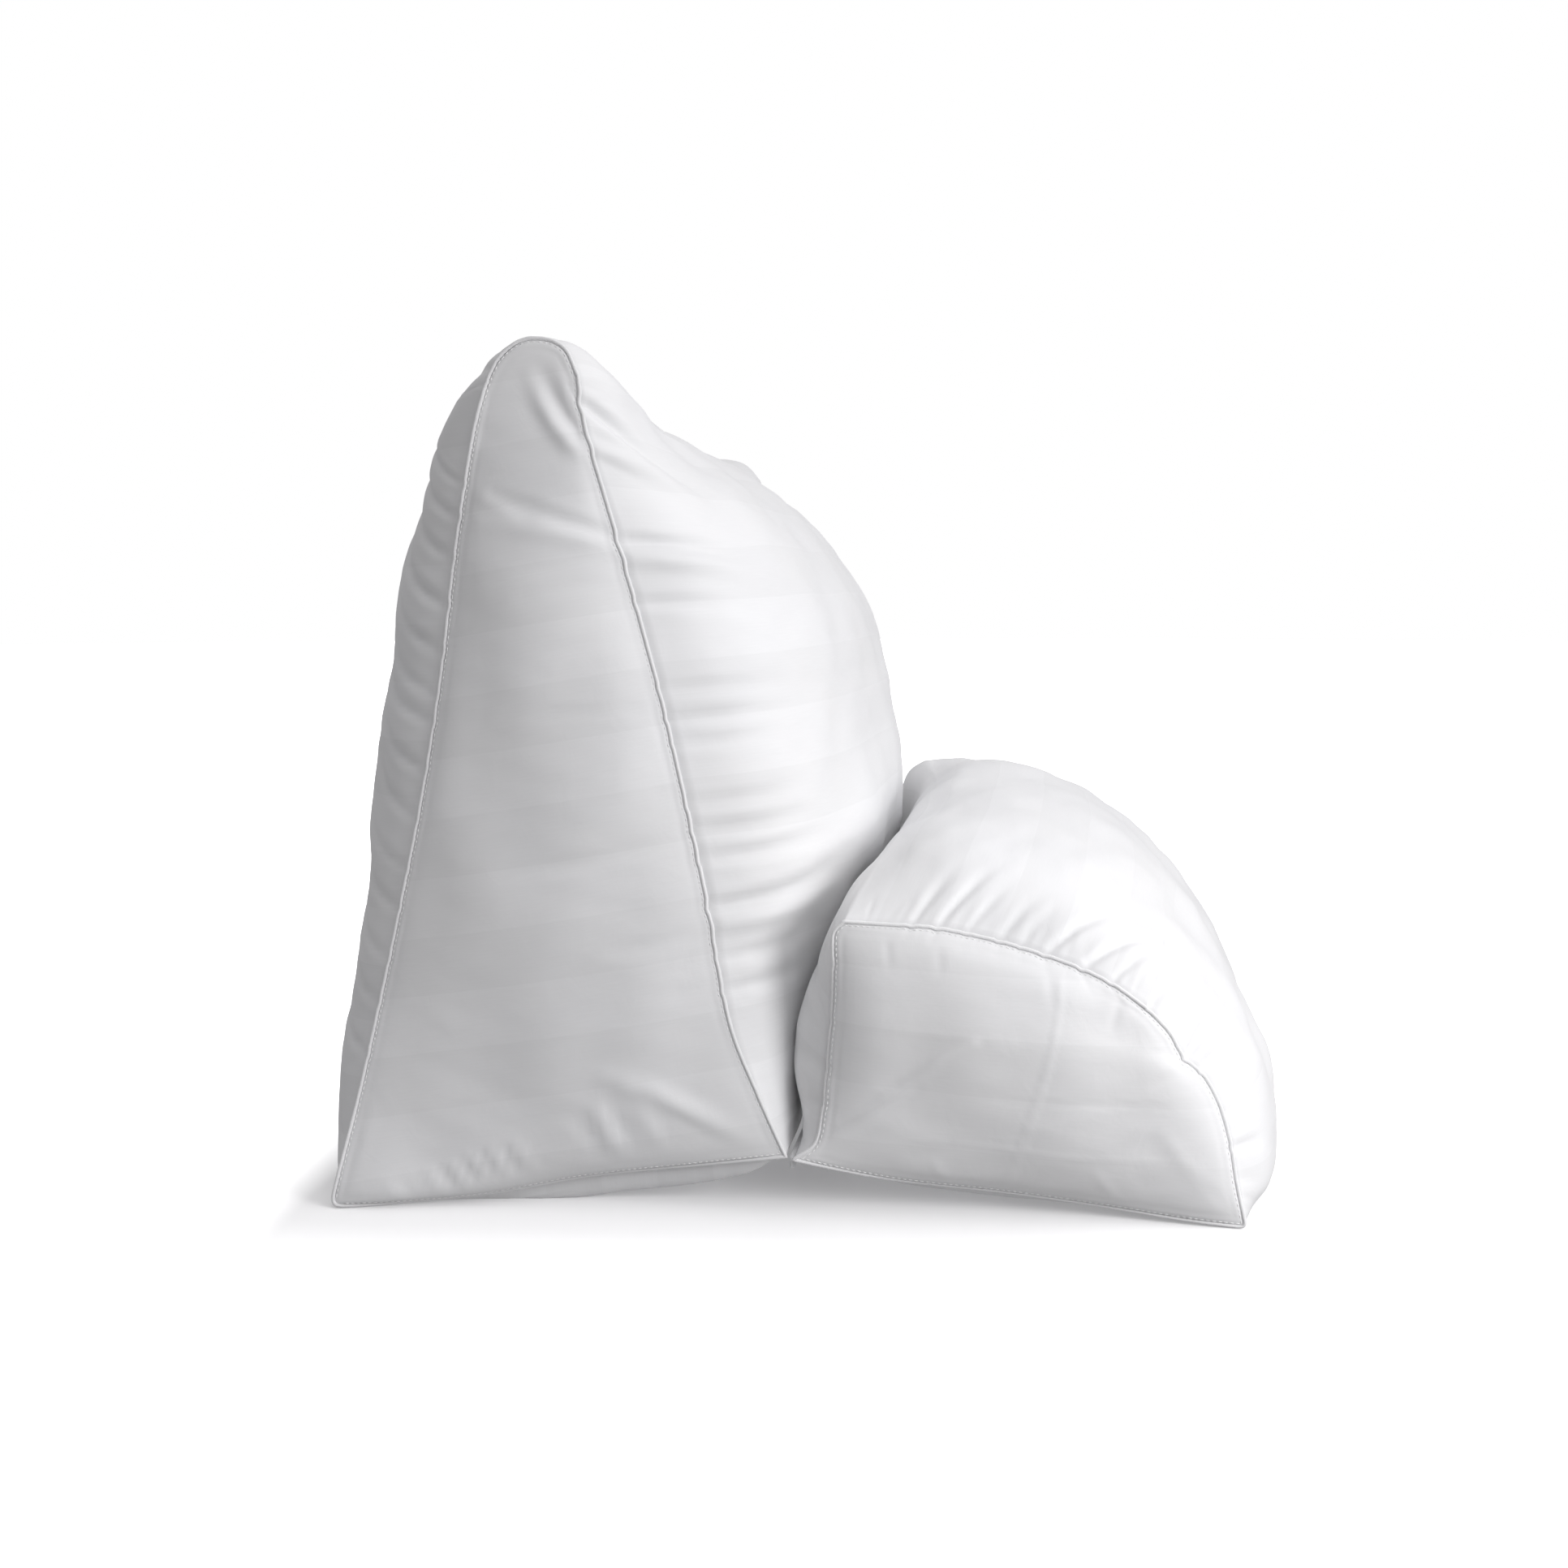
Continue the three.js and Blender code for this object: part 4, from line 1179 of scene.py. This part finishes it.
def floor_material():
    """White floor: its colour is above white, and a painted glow makes it brighter still away from the
    object, washing out shadows there.
    """
    mat = bpy.data.materials.new("pale_floor")
    mat.use_nodes = True
    tree = mat.node_tree
    tree.nodes.clear()
    place = separate(tree, tree.nodes.new("ShaderNodeTexCoord").outputs["Object"])
    outside = []
    for axis, pace in ((0, 5.0), (1, 1.0)):
        beyond = math_node(tree, "SUBTRACT", math_node(tree, "ABSOLUTE", place[axis]), GLOW_START)
        beyond = math_node(tree, "MULTIPLY", math_node(tree, "MAXIMUM", beyond, 0.0), pace)
        outside.append(math_node(tree, "MULTIPLY", beyond, beyond))
    far = math_node(tree, "SQRT", math_node(tree, "ADD", *outside))
    painted_glow = map_range(tree, far, 0.04, 0.36, 0.0, 1.0)
    # A colour above white: the floor returns more light than reaches it, a painted brightening.
    overbright_paper = feed(tree, tree.nodes.new("ShaderNodeBsdfDiffuse"), {"Color": (1.16, 1.16, 1.16, 1)})
    # Painted glow: the floor emits light, none near the object and full strength far from it.
    light = feed(tree, tree.nodes.new("ShaderNodeEmission"), {"Strength": painted_glow})
    both = feed(tree, tree.nodes.new("ShaderNodeAddShader"), {0: overbright_paper, 1: light})
    tree.links.new(both, tree.nodes.new("ShaderNodeOutputMaterial").inputs["Surface"])
    return mat


def add_sky():
    """Light from all round, in three bands."""
    world = bpy.data.worlds.new("studio")
    world.use_nodes = True
    bpy.context.scene.world = world
    tree = world.node_tree
    ray = separate(tree, tree.nodes.new("ShaderNodeTexCoord").outputs["Generated"])
    whole = None
    for (a, b, c, d), (right, left, front, behind) in SKY:
        comes, goes = map_range(tree, ray[2], a, b, 0.0, 1.0), map_range(tree, ray[2], c, d, 1.0, 0.0)
        across = math_node(tree, "MULTIPLY", ray[0], (right - left) / 2)
        along = math_node(tree, "MULTIPLY", ray[1], (behind - front) / 2)
        even = (right + left + front + behind) / 2
        level = math_node(tree, "ADD", math_node(tree, "ADD", across, along), even)
        level = math_node(tree, "MULTIPLY", level, math_node(tree, "MULTIPLY", comes, goes))
        whole = level if whole is None else math_node(tree, "ADD", whole, level)
    tinted = {i: math_node(tree, "MULTIPLY", whole, tint) for i, tint in enumerate(SKY_TINT)}
    tinted = feed(tree, tree.nodes.new("ShaderNodeCombineXYZ"), tinted)
    feed(tree, tree.nodes["Background"], {"Color": tinted, "Strength": 1.0})


def add_dome():
    """A white backdrop all round, seen only by the camera."""
    rings, sides = 10, 64
    verts = []
    for i in range(rings):
        a = math.radians(-2 + i * 10)
        verts += circle(BACKDROP_RADIUS * math.cos(a), BACKDROP_RADIUS * math.sin(a), sides)
    faces = wall_faces(rings, sides, flip=True) + cap_faces(rings, sides)[1:]
    obj = add_stage("backdrop", verts, faces, backdrop_material())
    for flag in ("visible_diffuse", "visible_glossy", "visible_transmission", "visible_shadow"):
        setattr(obj, flag, False)


def add_light(name, where, target, size, power):
    """A round area light that points at a target."""
    data = bpy.data.lights.new(name, "AREA")
    data.shape = "DISK"
    data.size = size
    data.energy = power
    data.color = LAMP_TINT
    obj = add_object(name, data)
    obj.location = where
    obj.rotation_mode = "QUATERNION"
    obj.rotation_quaternion = (Vector(target) - Vector(where)).to_track_quat("-Z", "Y")


floor = add_stage("floor", circle(FLOOR_RADIUS, 0.0, 96), [tuple(range(96))], floor_material())
floor.visible_diffuse = False
floor.visible_glossy = False
add_sky()
add_dome()
add_light("key", (1.02, -0.96, 0.5), AIM, size=0.6, power=8.6)
add_light("side", (1.5, -0.3, 0.6), AIM, size=0.8, power=1.8)

camera_data = bpy.data.cameras.new("camera")
camera = add_object("camera", camera_data)
camera.location = OFFSET + CAMERA_PLACE
camera.rotation_euler = (math.radians(90 - CAMERA_TILT), 0, math.radians(CAMERA_TURN))
camera_data.sensor_width = SENSOR
camera_data.lens = FOCAL_PIXELS / IMAGE_PIXELS * SENSOR
camera_data.shift_x = CAMERA_SHIFT
camera_data.clip_start = 0.05
camera_data.clip_end = 60
bpy.context.scene.camera = camera

bpy.context.scene.view_settings.view_transform = "Standard"
bpy.context.scene.view_settings.look = "None"
